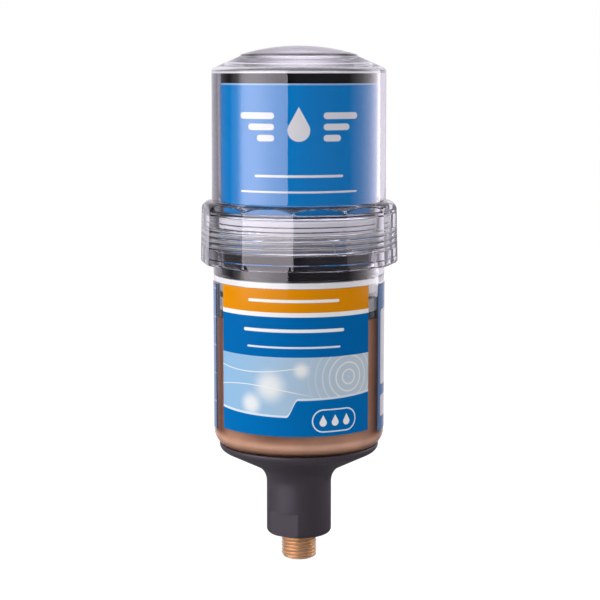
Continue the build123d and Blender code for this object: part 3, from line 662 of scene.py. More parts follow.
# What each finish gives the eye stands beside it.
FINISHES: dict[str, Finish] = {
    # polycarbonate, injection moulded and polished: bright edges and sharp, weak reflections
    "cover": ClearPlastic(
        "polished_clear_polycarbonate", "#F4F2F8", 0.015, ior=1.52, grain_mm=9.0, grain_depth_mm=0.01
    ),
    # styrene acrylonitrile, moulded: clear with a faint waviness of its own
    "canister": ClearPlastic("moulded_clear_san", "#F5F4F8", 0.02, grain_mm=7.0, grain_depth_mm=0.012),
    # the same where grease lies on it: see-through, with painted shade, brown where the wall is seen on the
    # slant
    "wetted": WettedPlastic("grease_wetted_san", "#FFFFFF"),
    # glass-filled nylon, satin moulded: near black with a broad soft sheen
    "flange": Finish(
        "satin_moulded_nylon", "#3F3941", 0.42, specular=0.55, grain_mm=0.35, grain_depth_mm=0.004
    ),
    # ABS, moulded and left plain: black with a slight gloss
    "housing": Finish(
        "moulded_black_abs", "#141214", 0.2, specular=0.3, grain_mm=0.6, grain_depth_mm=0.0015
    ),
    # brass, turned: warm copper-gold with rings round it
    "brass": TurnedMetal("turned_brass", "#F2CCA5", 0.36, 0.72, grain_mm=0.25, grain_depth_mm=0.004),
    # nitrile rubber, moulded: black and soft-edged
    "rubber": Finish("moulded_nitrile_rubber", "#131213", 0.5, grain_mm=0.5, grain_depth_mm=0.003),
    # polypropylene, moulded: milky white with a soft gloss
    "piston": Finish(
        "moulded_white_polypropylene", "#BCBFC1", 0.38, mottle=0.04, grain_mm=0.6, grain_depth_mm=0.003
    ),
    # lithium-soap grease: tan-brown, wet-looking and slightly streaked
    "grease": Finish(
        "tan_lithium_grease", "#D6A080", 0.28, mottle=0.14, mottle_mm=9.0, grain_mm=3.0, grain_depth_mm=0.05
    ),
    # machined steel: grey, with a soft shine and fine rings
    "steel": TurnedMetal("machined_steel", "#B9BBC0", 0.3, 1.0, grain_mm=0.25, grain_depth_mm=0.002),
    # acetal gears: off-white and waxy
    "gears": Finish("moulded_acetal", "#E6E3DA", 0.36, mottle=0.03, grain_mm=0.4, grain_depth_mm=0.002),
    # glass-filled polyester tray: dark grey
    "tray": Finish("moulded_grey_polyester", "#54555A", 0.48, grain_mm=0.35, grain_depth_mm=0.004),
    # printed steel sleeve of a cell: dark blue-grey, glossy
    "cell": Finish("printed_cell_sleeve", "#39455C", 0.25, 0.6, mottle=0.05),
    # epoxy board under solder mask: deep green, slightly glossy
    "board": Finish("solder_masked_epoxy_board", "#155A2E", 0.3, mottle=0.12, mottle_mm=2.0),
    # epoxy chip package: black, fine matt
    "chip": Finish("moulded_epoxy_package", "#1B1B1D", 0.5, grain_mm=0.15, grain_depth_mm=0.003),
    # silicone lead insulation: red, soft gloss
    "lead": Finish("silicone_lead_insulation", "#A8231C", 0.35, mottle=0.05),
    # acetal dial: near black with a fine grain
    "dial": Finish("moulded_black_acetal", "#1C1B1D", 0.33, grain_mm=0.3, grain_depth_mm=0.003),
    # tinted epoxy lamp heads: glossy, with a slight cloud
    "green_lamp": Finish("green_epoxy_lens", "#2FA04A", 0.12, mottle=0.1),
    "yellow_lamp": Finish("yellow_epoxy_lens", "#D9A92A", 0.12, mottle=0.1),
    "red_lamp": Finish("red_epoxy_lens", "#B52A22", 0.12, mottle=0.1),
    # white pad-printing on the lid: thin matt ink
    "ink": Finish("pad_printed_white_ink", "#E9E9E6", 0.6, mottle=0.04),
    # printed film labels: flat strong inks under a thin lacquer
    "drive_label": Print("printed_film_wrap_label", INKS.blue, 0.14, specular=0.1, draw=draw_drive_label),
    "front_label": Print(
        "printed_film_front_label", INKS.low_blue, 0.1, specular=0.08, draw=draw_front_label
    ),
    "rear_label": Print(
        "printed_film_rear_label", INKS.rear_blue, 0.12, specular=0.08, draw=draw_rear_label
    ),
}

# The CAD nodes that keep their own shape, by finish.
CAD_FINISHES: dict[str, tuple[str, ...]] = {
    "rubber": ("outlet_seal",),
    "steel": (
        "spindle_plate", "thrust_washer", "gear_pins", "motor_can", "battery_contacts", "battery_springs",
        "housing_screws",
    ),
    "gears": ("spindle_gear", "gear_a", "gear_b", "motor_pinion"),
    "lead": ("motor_leads",),
    "cell": ("battery_cell_1", "battery_cell_2", "battery_cell_3"),
    "tray": ("battery_tray",),
    "housing": ("drive_base", "drive_lid"),
    "cover": ("status_window",),
    "board": ("circuit_board",),
    "chip": ("controller_chip", "interval_switch", "volume_switch"),
    "green_lamp": ("led_green",),
    "yellow_lamp": ("led_yellow",),
    "red_lamp": ("led_red",),
    "dial": ("interval_dial", "volume_dial"),
}


# ---------------------------------------------------------------- turned shapes


@dataclass(frozen=True)
class Corner:
    """A corner of a turned profile, in millimetres, and the run that starts at it."""

    radius: float
    height: float
    rounding: float = 0.0
    zone: Zone = Zone.PLAIN
    spacing: float = 8.0


@dataclass(frozen=True)
class Row:
    """One ring of a turned mesh, in millimetres, and the zone of the band that follows it."""

    radius: float
    height: float
    zone: Zone


class Profile:
    """A turned profile: corners with roundings, made into rows."""

    ARC_STEP = math.radians(7.5)

    def __init__(self, corners: Sequence[Corner], loop: bool) -> None:
        """Keeps the corners.

        Args:
            corners: in order, anticlockwise or clockwise.
            loop: True if the last corner joins the first, False if both ends lie on the axis.
        """
        self.corners = list(corners)
        self.loop = loop

    def rows(self) -> list[Row]:
        """Works out the rows, with arcs at the rounded corners and long runs divided.

        Returns:
            The rows, in the corners' order.
        """
        count = len(self.corners)
        rounded = [self._arc(i) for i in range(count)]
        rows: list[Row] = []
        for i, corner in enumerate(self.corners):
            arc = rounded[i]
            rows += [Row(point.x, point.y, corner.zone) for point in arc]
            if i == count - 1 and not self.loop:
                break
            start, end = arc[-1], rounded[(i + 1) % count][0]
            pieces = max(1, math.ceil((end - start).length / corner.spacing))
            rows += [Row(*start.lerp(end, piece / pieces), corner.zone) for piece in range(1, pieces)]
        return rows

    def _arc(self, index: int) -> list[Vector]:
        """Works out the points of one corner.

        Args:
            index: the corner's number.

        Returns:
            The corner itself, or its arc.
        """
        corner = self.corners[index]
        here = Vector((corner.radius, corner.height))
        if not corner.rounding:
            return [here]
        before = self.corners[index - 1]
        after = self.corners[(index + 1) % len(self.corners)]
        back = (Vector((before.radius, before.height)) - here).normalized()
        ahead = (Vector((after.radius, after.height)) - here).normalized()
        half = math.acos(max(-1.0, min(1.0, back.dot(ahead)))) / 2
        centre = here + (back + ahead).normalized() * (corner.rounding / math.sin(half))
        first = here + back * (corner.rounding / math.tan(half)) - centre
        last = here + ahead * (corner.rounding / math.tan(half)) - centre
        turn = math.pi - 2 * half
        steps = max(2, math.ceil(turn / self.ARC_STEP))
        points = []
        for step in range(steps + 1):
            share = step / steps
            weight_first = math.sin((1 - share) * turn) / math.sin(turn)
            weight_last = math.sin(share * turn) / math.sin(turn)
            points.append(centre + first * weight_first + last * weight_last)
        return points


def dome(radius: float, base: float, rise: float, rows: int) -> list[Corner]:
    """Works out a shallow dome's profile from the axis to its edge.

    Args:
        radius: the edge's radius.
        base: the edge's height.
        rise: the dome's height over its edge.
        rows: how many points it has.

    Returns:
        Its corners, from the axis outward; the edge itself is left out.
    """
    sphere = (radius**2 + rise**2) / (2 * rise)
    centre = base + rise - sphere
    steps = [radius * i / rows for i in range(rows)]
    return [Corner(step, centre + math.sqrt(sphere**2 - step**2)) for step in steps]


def even_angles(count: int) -> np.ndarray:
    """Gives angles evenly spaced over a full turn."""
    return np.linspace(0, math.tau, count, endpoint=False)


Reshape = Callable[[np.ndarray, np.ndarray, np.ndarray, list], np.ndarray]


@dataclass
class Turning:
    """A closed mesh turned about Z, whose rows may be reshaped by angle."""

    COLUMNS = 192
    ROWS_PER_LEAD = 18
    SATIN = {Zone.SATIN: 0.9, Zone.HAZY: 0.22}

    name: str
    profile: Profile
    angles: np.ndarray = field(default_factory=lambda: even_angles(Turning.COLUMNS))
    reshape: Optional[Reshape] = None
    lead: float = 0.0

    def build(self) -> bpy.types.Object:
        """Makes the object, at the origin, with its place in its mesh.

        Returns:
            The new object, with the attributes thread and satin (point) and wetted (face).
        """
        rows = self.profile.rows()
        first, last = self._wind(rows)
        radius = np.array([row.radius for row in rows])[:, None]
        height = np.array([row.height for row in rows])[:, None]
        grid = np.repeat(radius, len(self.angles), axis=1)
        if self.reshape is not None:
            grid = self.reshape(radius, height, self.angles[None, :], [row.zone for row in rows])
        levels = np.repeat(height, len(self.angles), axis=1)
        if last > first:
            climb = self.lead * ((self.angles - self.angles[0]) / math.tau - 1)
            wound = levels[first : last + 1] + climb
            levels[first : last + 1] = np.clip(wound, levels[first - 1, 0], levels[last + 1, 0])
        points, thread, satin = [], [], []
        rings: list[list[int]] = []
        for row, around, heights in zip(rows, grid, levels):
            if row.radius < TINY:
                rings.append([len(points)] * len(self.angles))
                ring = [(0.0, 0.0, row.height)]
            else:
                rings.append(list(range(len(points), len(points) + len(self.angles))))
                turned = zip(self.angles, around, heights)
                ring = [(reach * math.cos(angle), reach * math.sin(angle), up) for angle, reach, up in turned]
            points += [(x * MM, y * MM, z * MM) for x, y, z in ring]
            thread += [float(row.zone is Zone.THREAD)] * len(ring)
            satin += [self.SATIN.get(row.zone, 0.0)] * len(ring)
        faces, wetted = self._faces(rows, rings, first, last)
        layers = {"thread": ("POINT", thread), "satin": ("POINT", satin), "wetted": ("FACE", wetted)}
        return make_object(self.name, points, faces, layers)

    def _faces(self, rows: list[Row], rings: list[list[int]], first: int, last: int) -> tuple[list, list]:
        """Joins each ring to the next, one lead higher at the seam of the wound run.

        Args:
            rows: the mesh's rows.
            rings: each row's points by column.
            first: the wound run's first row.
            last: its last row.

        Returns:
            The faces, and for each a 1 where grease wets it.
        """
        columns = len(self.angles)
        faces, wetted = [], []
        for i in range(len(rows) if self.profile.loop else len(rows) - 1):
            n = (i + 1) % len(rows)
            for j in range(columns):
                k = (j + 1) % columns
                here, there = i, n
                if k == 0 and first <= i < last:
                    here, there = (min(row + self.ROWS_PER_LEAD, last) for row in (i, n))
                face = list(dict.fromkeys((rings[i][j], rings[n][j], rings[there][k], rings[here][k])))
                if len(face) > 2:
                    faces.append(face)
                    wetted.append(int(rows[i].zone is Zone.WETTED))
        return faces, wetted

    def _wind(self, rows: list[Row]) -> tuple[int, int]:
        """Gives the threaded run one lead more of evenly spaced rows, which the build winds up a helix.

        Args:
            rows: the profile's rows, changed in place. The run has one radius, and its ends are plain rows.

        Returns:
            The run's first and last row.
        """
        marked = [i for i, row in enumerate(rows) if row.zone is Zone.THREAD]
        if not marked:
            return 0, 0
        start, end = rows[marked[0]], rows[marked[-1] + 1]
        step = self.lead / self.ROWS_PER_LEAD
        count = math.ceil((end.height - start.height + self.lead) / step)
        run = [Row(start.radius, start.height + step * i, Zone.THREAD) for i in range(count + 1)]
        rows[marked[0] : marked[-1] + 1] = [Row(start.radius, start.height, Zone.PLAIN), *run]
        return marked[0] + 1, marked[0] + 1 + count


def make_object(
    name: str, points: Iterable, faces: Iterable, attributes: Optional[dict] = None
) -> bpy.types.Object:
    """Makes a closed mesh object with its faces pointing outward.

    Args:
        name: the piece's name.
        points: the vertices, in metres.
        faces: the faces, as vertex numbers.
        attributes: name to (domain, values), stored as numbers.

    Returns:
        The new object, linked to the scene.
    """
    mesh = bpy.data.meshes.new(name)
    mesh.from_pydata(list(points), [], list(faces))
    for key, (domain, values) in (attributes or {}).items():
        mesh.attributes.new(key, "FLOAT", domain).data.foreach_set("value", values)
    work = bmesh.new()
    work.from_mesh(mesh)
    bmesh.ops.remove_doubles(work, verts=work.verts, dist=MERGE_DISTANCE)
    bmesh.ops.recalc_face_normals(work, faces=work.faces)
    work.to_mesh(mesh)
    work.free()
    obj = bpy.data.objects.new(name, mesh)
    bpy.context.scene.collection.objects.link(obj)
    return obj


def dress(obj: bpy.types.Object, finish: str, body: str, slot: Slot, *nodes: str) -> bpy.types.Object:
    """Gives a piece its finish and its body, and hides the CAD nodes that it stands for.

    It is shaded smooth, with its real edges left sharp.

    Args:
        obj: the piece.
        finish: a key of FINISHES.
        body: the CAD body that it rides on.
        slot: a material slot; it is not used.
        nodes: the CAD nodes that it replaces.

    Returns:
        The same piece.
    """
    obj.data.materials.clear()
    obj.data.materials.append(FINISHES[finish].material())
    obj.data.shade_smooth()
    obj.data.set_sharp_from_angle(angle=math.radians(SHARP_DEGREES))
    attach(obj, body)
    if nodes:
        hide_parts(*nodes)
    LOG.info("%s: %d faces on %s", obj.name, len(obj.data.polygons), body)
    return obj


# ---------------------------------------------------------------- Geometry Nodes


class NodeTool:
    """A Geometry Nodes tree with named inputs, applied to an object and turned to a plain mesh."""

    name = "tool"
    inputs: dict[str, str] = {}

    def __init__(self) -> None:
        """Builds the tree."""
        self.tree = bpy.data.node_groups.new(self.name, "GeometryNodeTree")
        sockets = {"Geometry": "NodeSocketGeometry", **self.inputs}
        for name, kind in sockets.items():
            self.tree.interface.new_socket(name, in_out="INPUT", socket_type=kind)
        self.tree.interface.new_socket("Geometry", in_out="OUTPUT", socket_type="NodeSocketGeometry")
        self.start = add_node(self.tree, "NodeGroupInput")
        realized = add_node(self.tree, "GeometryNodeRealizeInstances", None, {0: self.geometry()})
        painted = add_node(
            self.tree, "GeometryNodeSetMaterial", None,
            {"Geometry": realized.outputs[0], "Material": self.start.outputs["Material"]},
        )
        add_node(self.tree, "NodeGroupOutput", None, {0: painted.outputs[0]})

    def geometry(self) -> bpy.types.NodeSocket:
        """Adds the nodes that make the shape, and gives their geometry."""
        raise NotImplementedError

    def value(self, name: str) -> Field:
        """Gives a named input as a number."""
        return Field(self.tree, self.start.outputs[name])

    def apply(self, obj: bpy.types.Object, **values: Union[float, int, bpy.types.Material]) -> None:
        """Runs the tree on an object and keeps the result as its plain mesh.

        Args:
            obj: the object to work on.
            values: the inputs by name, with an underscore for a space.
        """
        modifier = obj.modifiers.new(self.name, "NODES")
        modifier.node_group = self.tree
        for item in self.tree.interface.items_tree:
            key = item.name.replace(" ", "_")
            if item.in_out == "INPUT" and key in values:
                modifier[item.identifier] = values[key]
        evaluated = obj.evaluated_get(bpy.context.evaluated_depsgraph_get())
        mesh = bpy.data.meshes.new_from_object(evaluated)
        obj.modifiers.remove(modifier)
        obj.data = mesh


class ThreadTool(NodeTool):
    """Raises a right-handed helical ridge on the points marked by the attribute thread.

    The ridge is milky where Milk is over 0, by the attribute satin.
    """

    MILK_RISE = (0.15, 0.6)
    MILK_AT_START = 0.45

    name = "thread_ridge"
    inputs = {
        **dict.fromkeys(
            ("Lead", "Depth", "Start", "End", "Phase", "Foot", "Crest", "Flat", "Milk"), "NodeSocketFloat"
        ),
        "Material": "NodeSocketMaterial",
    }

    def geometry(self) -> bpy.types.NodeSocket:
        """Moves each marked point out by the ridge's height at its height and angle.

        Returns:
            The threaded geometry.
        """
        tree = self.tree
        place = add_node(tree, "GeometryNodeInputPosition").outputs[0]
        parts = add_node(tree, "ShaderNodeSeparateXYZ", None, {0: place})
        x, y, z = (Field(tree, parts.outputs[i]) for i in range(3))
        numbers = {"data_type": "FLOAT"}
        mark, satin = (
            Field(tree, add_node(tree, "GeometryNodeInputNamedAttribute", numbers, {"Name": name}).outputs[0])
            for name in ("thread", "satin")
        )
        lead, start, end, flat = (self.value(name) for name in ("Lead", "Start", "End", "Flat"))
        turns = y.then("ARCTAN2", x) * (1 / math.tau)
        phase = (z / lead - turns + self.value("Phase")).then("FRACT")
        rise = abs(phase * 2.0 - 1.0) * -1.0 + 1.0
        ridge = rise.ramp(self.value("Foot"), self.value("Crest"), shape="LINEAR")
        fade = z.ramp(start, start + lead * 0.5) * z.ramp(end - lead * 0.5, end, 1.0, 0.0)
        radius = (x * x + y * y).then("SQRT").then("MAXIMUM", TINY)
        grow = self.value("Depth") * ridge * fade * mark / radius + 1.0
        across = (x * grow).then("MINIMUM", flat).then("MAXIMUM", flat * -1.0)
        moved = add_node(tree, "ShaderNodeCombineXYZ", None, {0: across, 1: y * grow, 2: z})
        raised = add_node(
            tree, "GeometryNodeSetPosition", None,
            {"Geometry": self.start.outputs[0], "Position": moved.outputs[0]},
        )
        spread = z.ramp(start, end, self.MILK_AT_START, 1.0)
        milk = self.value("Milk") * ridge.ramp(*self.MILK_RISE) * fade * spread * mark
        stored = {"Geometry": raised.outputs[0], "Name": "satin", "Value": milk.then("MAXIMUM", satin)}
        store = add_node(tree, "GeometryNodeStoreNamedAttribute", {**numbers, "domain": "POINT"}, stored)
        return store.outputs[0]


class RayTool(NodeTool):
    """Sets bars out like rays round Z, in a full ring or a part of one, beside the geometry that comes in."""

    name = "ray_bars"
    inputs = {
        "Count": "NodeSocketInt",
        **dict.fromkeys(
            (
                "Radius", "Length", "Width", "Thickness", "Height", "Centre X", "Centre Y", "First Angle",
                "Angle Step",
            ),
            "NodeSocketFloat",
        ),
        "Material": "NodeSocketMaterial",
    }

    def geometry(self) -> bpy.types.NodeSocket:
        """Instances one bar on points of an arc.

        Returns:
            The incoming geometry with the bars.
        """
        tree = self.tree
        points = add_node(tree, "GeometryNodeMeshLine", None, {"Count": self.start.outputs["Count"]})
        index = Field(tree, add_node(tree, "GeometryNodeInputIndex").outputs[0])
        angle = index * self.value("Angle Step") + self.value("First Angle")
        x = angle.then("COSINE") * self.value("Radius") + self.value("Centre X")
        y = angle.then("SINE") * self.value("Radius") + self.value("Centre Y")
        place = add_node(tree, "ShaderNodeCombineXYZ", None, {0: x, 1: y, 2: self.value("Height")})
        placed = add_node(
            tree, "GeometryNodeSetPosition", None,
            {"Geometry": points.outputs[0], "Position": place.outputs[0]},
        )
        sizes = {i: self.value(name) for i, name in enumerate(("Length", "Width", "Thickness"))}
        size = add_node(tree, "ShaderNodeCombineXYZ", None, sizes)
        bar = add_node(tree, "GeometryNodeMeshCube", None, {"Size": size.outputs[0]})
        turn = add_node(tree, "ShaderNodeCombineXYZ", None, {2: angle})
        bars = add_node(
            tree, "GeometryNodeInstanceOnPoints", None,
            {"Points": placed.outputs[0], "Instance": bar.outputs[0], "Rotation": turn.outputs[0]},
        )
        joined = add_node(tree, "GeometryNodeJoinGeometry", None, {0: self.start.outputs[0]})
        tree.links.new(bars.outputs[0], joined.inputs[0])
        return joined.outputs[0]


@dataclass
class Workshop:
    """The shared Geometry Nodes tools."""

    thread: ThreadTool = field(default_factory=ThreadTool)
    rays: RayTool = field(default_factory=RayTool)


# ---------------------------------------------------------------- labels


@dataclass
class Label:
    """A thin label on a cylinder, with a map in millimetres from its middle and its foot."""

    MAP = "label_map"
    MAP_MM = 400.0
    DEGREES_PER_COLUMN = 1.5
    FEWEST_COLUMNS = 24
    ROWS = 12

    name: str
    finish: str
    inner: float
    outer: float
    low: float
    high: float
    start: float
    end: float

    @staticmethod
    def rear_half_width() -> float:
        """Works out half the arc length of the rear label.

        Returns:
            The length in millimetres.
        """
        low, high = node_box("canister_label_back")
        radius = (high.x - low.x) / 2
        front = math.degrees(math.acos(min(1.0, -low.y / radius)))
        return radius * math.radians(180 - front)

    def build(self, *nodes: str) -> bpy.types.Object:
        """Makes the label and gives it its finish.

        Args:
            nodes: the CAD nodes that it replaces.

        Returns:
            The piece.
        """
        full = self.end - self.start >= 360
        columns = max(self.FEWEST_COLUMNS, round((self.end - self.start) / self.DEGREES_PER_COLUMN))
        rows = self.ROWS
        count = columns if full else columns + 1
        points = []
        for radius in (self.outer, self.inner):
            for j in range(rows + 1):
                for i in range(count):
                    angle = math.radians(self.start + (self.end - self.start) * i / columns - 90)
                    height = self.low + (self.high - self.low) * j / rows
                    points.append((radius * math.cos(angle) * MM, radius * math.sin(angle) * MM, height * MM))
        back = count * (rows + 1)
        sheet = [[j * count + i for i in range(count)] for j in range(rows + 1)]
        around = [(i, (i + 1) % count) for i in range(columns)]
        faces = [
            [layer + sheet[j][i], layer + sheet[j][k], layer + sheet[j + 1][k], layer + sheet[j + 1][i]]
            for layer in (0, back) for j in range(rows) for i, k in around
        ]
        edges = [(sheet[j][i], sheet[j][k]) for j in (0, rows) for i, k in around]
        if not full:
            edges += [(sheet[j][i], sheet[j + 1][i]) for i in (0, columns) for j in range(rows)]
        faces += [[a, b, back + b, back + a] for a, b in edges]
        obj = make_object(self.name, points, faces)
        self._map(obj)
        return dress(obj, self.finish, "root", Slot.LABEL, *nodes)

    def _map(self, obj: bpy.types.Object) -> None:
        """Writes the map: arc length from the middle, and height over the foot.

        Args:
            obj: the label.
        """
        layer = obj.data.uv_layers.new(name=self.MAP)
        turn = math.radians((self.start + self.end) / 2 - 90)
        for polygon in obj.data.polygons:
            centre = self._angle(polygon.center, turn)
            for loop in polygon.loop_indices:
                co = obj.data.vertices[obj.data.loops[loop].vertex_index].co
                angle = self._angle(co, turn)
                if angle - centre > math.pi:
                    angle -= math.tau
                elif centre - angle > math.pi:
                    angle += math.tau
                layer.data[loop].uv = (angle * self.outer / self.MAP_MM, (co.z / MM - self.low) / self.MAP_MM)

    @staticmethod
    def _angle(point: Vector, turn: float) -> float:
        """Gives a point's angle from a heading, between minus and plus half a turn."""
        angle = math.atan2(point.y, point.x) - turn
        return (angle + math.pi) % math.tau - math.pi


# ---------------------------------------------------------------- sub-assemblies


@dataclass
class Outlet:
    """The brass nipple with its thread, and the black flange with its spanner flats."""

    thread_r: float = 6.58
    thread_depth: float = 0.82
    thread_pitch: float = 1.337
    thread_end: float = 0.6
    mouth_width: float = 0.35
    mouth_height: float = 0.4
    bore_r: float = 3.2
    shank_r: float = 6.0
    fit: float = 0.02
    boss_r: float = 12.15
    boss_round: float = 1.5
    boss_fillet: float = 7.4
    cone_degrees: float = 26.7
    rim_r: float = 29.8
    rim_round: float = 2.5
    rim_height: float = 2.163
    flat_from_axis: float = 10.5
    flat_reach: float = 0.9
    flat_height: float = 9.4
    flat_turn: float = -32.3
    dish_gap: float = 0.2
    dish_depth: float = 1.0
    nipple_columns: int = 120
    flange_columns: int = 240

    def build(self, tools: Workshop) -> None:
        """Builds the nipple and the flange."""
        self.nipple(tools)
        self.flange()

    def nipple(self, tools: Workshop) -> bpy.types.Object:
        """Makes the nipple, threaded from its mouth to the boss.

        Args:
            tools: the shared node tools.

        Returns:
            The piece.
        """
        low, high = node_box("outlet_nipple")
        root = self.thread_r - self.thread_depth
        profile = Profile(
            [
                Corner(self.bore_r, low.z, 0.3),
                Corner(root - self.mouth_width, low.z, 0.2),
                Corner(root, low.z + self.mouth_height, zone=Zone.THREAD),
                Corner(root, -self.fit),
                Corner(self.shank_r, -self.fit),
                Corner(self.shank_r, high.z),
                Corner(self.bore_r, high.z),
            ],
            loop=True,
        )
        columns = even_angles(self.nipple_columns)
        obj = Turning("outlet_nipple_threaded", profile, columns, lead=self.thread_pitch).build()
        tools.thread.apply(
            obj,
            Lead=self.thread_pitch * MM, Depth=self.thread_depth * MM, Start=(low.z + 0.1) * MM,
            End=self.thread_end * MM, Phase=0.2, Foot=0.12, Crest=0.9, Flat=NO_FLAT,
            Material=FINISHES["brass"].material(),
        )
        return dress(obj, "brass", "root", Slot.BRASS, "outlet_nipple")

    def flange(self) -> bpy.types.Object:
        """Makes the flange: boss with two flats, flared cone and rim, with the dish that takes the canister.

        Returns:
            The piece.
        """
        top = node_box("support_flange")[1].z
        slope = math.tan(math.radians(self.cone_degrees))
        seat = top - self.dish_depth
        spout_low = seat - Canister.spout_length
        cone_start = top - self.rim_height - (self.rim_r - self.boss_r) * slope
        corner = Canister.corner + self.dish_gap
        centre = Canister.outer_r - Canister.corner
        rim_in = centre + math.sqrt(corner**2 - (Canister.corner - self.dish_depth) ** 2)
        dish_in = centre + math.sqrt(corner**2 - Canister.corner**2)
        shank, spout = self.shank_r + self.fit, Canister.spout_r + self.fit
        profile = Profile(
            [
                Corner(shank, 0.0, 0.25, Zone.FLATTED, 1.5),
                Corner(self.boss_r, 0.0, self.boss_round, Zone.FLATTED, 1.5),
                Corner(self.boss_r, self.flat_height, zone=Zone.FLATTED),
                Corner(self.boss_r, self.flat_height + self.fit, spacing=2.0),
                Corner(self.boss_r, cone_start, self.boss_fillet, spacing=2.0),
                Corner(self.rim_r, top - self.rim_height, self.rim_round),
                Corner(self.rim_r, top, 0.25),
                Corner(rim_in, top, 0.1),
                Corner(dish_in, seat, 0.1),
                Corner(spout, seat, 0.1),
                Corner(spout, spout_low),
                Corner(shank, spout_low),
            ],
            loop=True,
        )
        even = np.linspace(-math.pi, math.pi, self.flange_columns, endpoint=False)
        angles = np.sort(np.concatenate([even, self._flat_edges()]))
        obj = Turning("support_flange_moulded", profile, angles, self._flatten).build()
        return dress(obj, "flange", "root", Slot.FLANGE, "support_flange")

    def _flat_edges(self) -> np.ndarray:
        """Works out where the flats' upright edges stand.

        Returns:
            Their angles, between minus and plus half a turn.
        """
        half = math.acos(self.flat_from_axis / self.boss_r)
        middles = [math.radians(self.flat_turn - 90 + side) for side in (0, 180)]
        turned = [middle + sign * half for middle in middles for sign in (-1, 1)]
        return np.array([(angle + math.pi) % math.tau - math.pi for angle in turned])

    def _flatten(self, radius: np.ndarray, height: np.ndarray, angles: np.ndarray, zones: list) -> np.ndarray:
        """Cuts the two spanner flats into the foot of the boss.

        Args:
            radius: each row's radius.
            height: each row's height.
            angles: each column's angle.
            zones: each row's zone.

        Returns:
            The radius by row and column.
        """
        away = np.abs(np.cos(angles - math.radians(self.flat_turn - 90)))
        flat = self.flat_from_axis / np.maximum(away, TINY)
        marked = np.array([zone is Zone.FLATTED for zone in zones])[:, None]
        full = np.repeat(radius, angles.shape[1], axis=1)
        return np.where(marked & (full > self.flat_from_axis * self.flat_reach), np.minimum(full, flat), full)


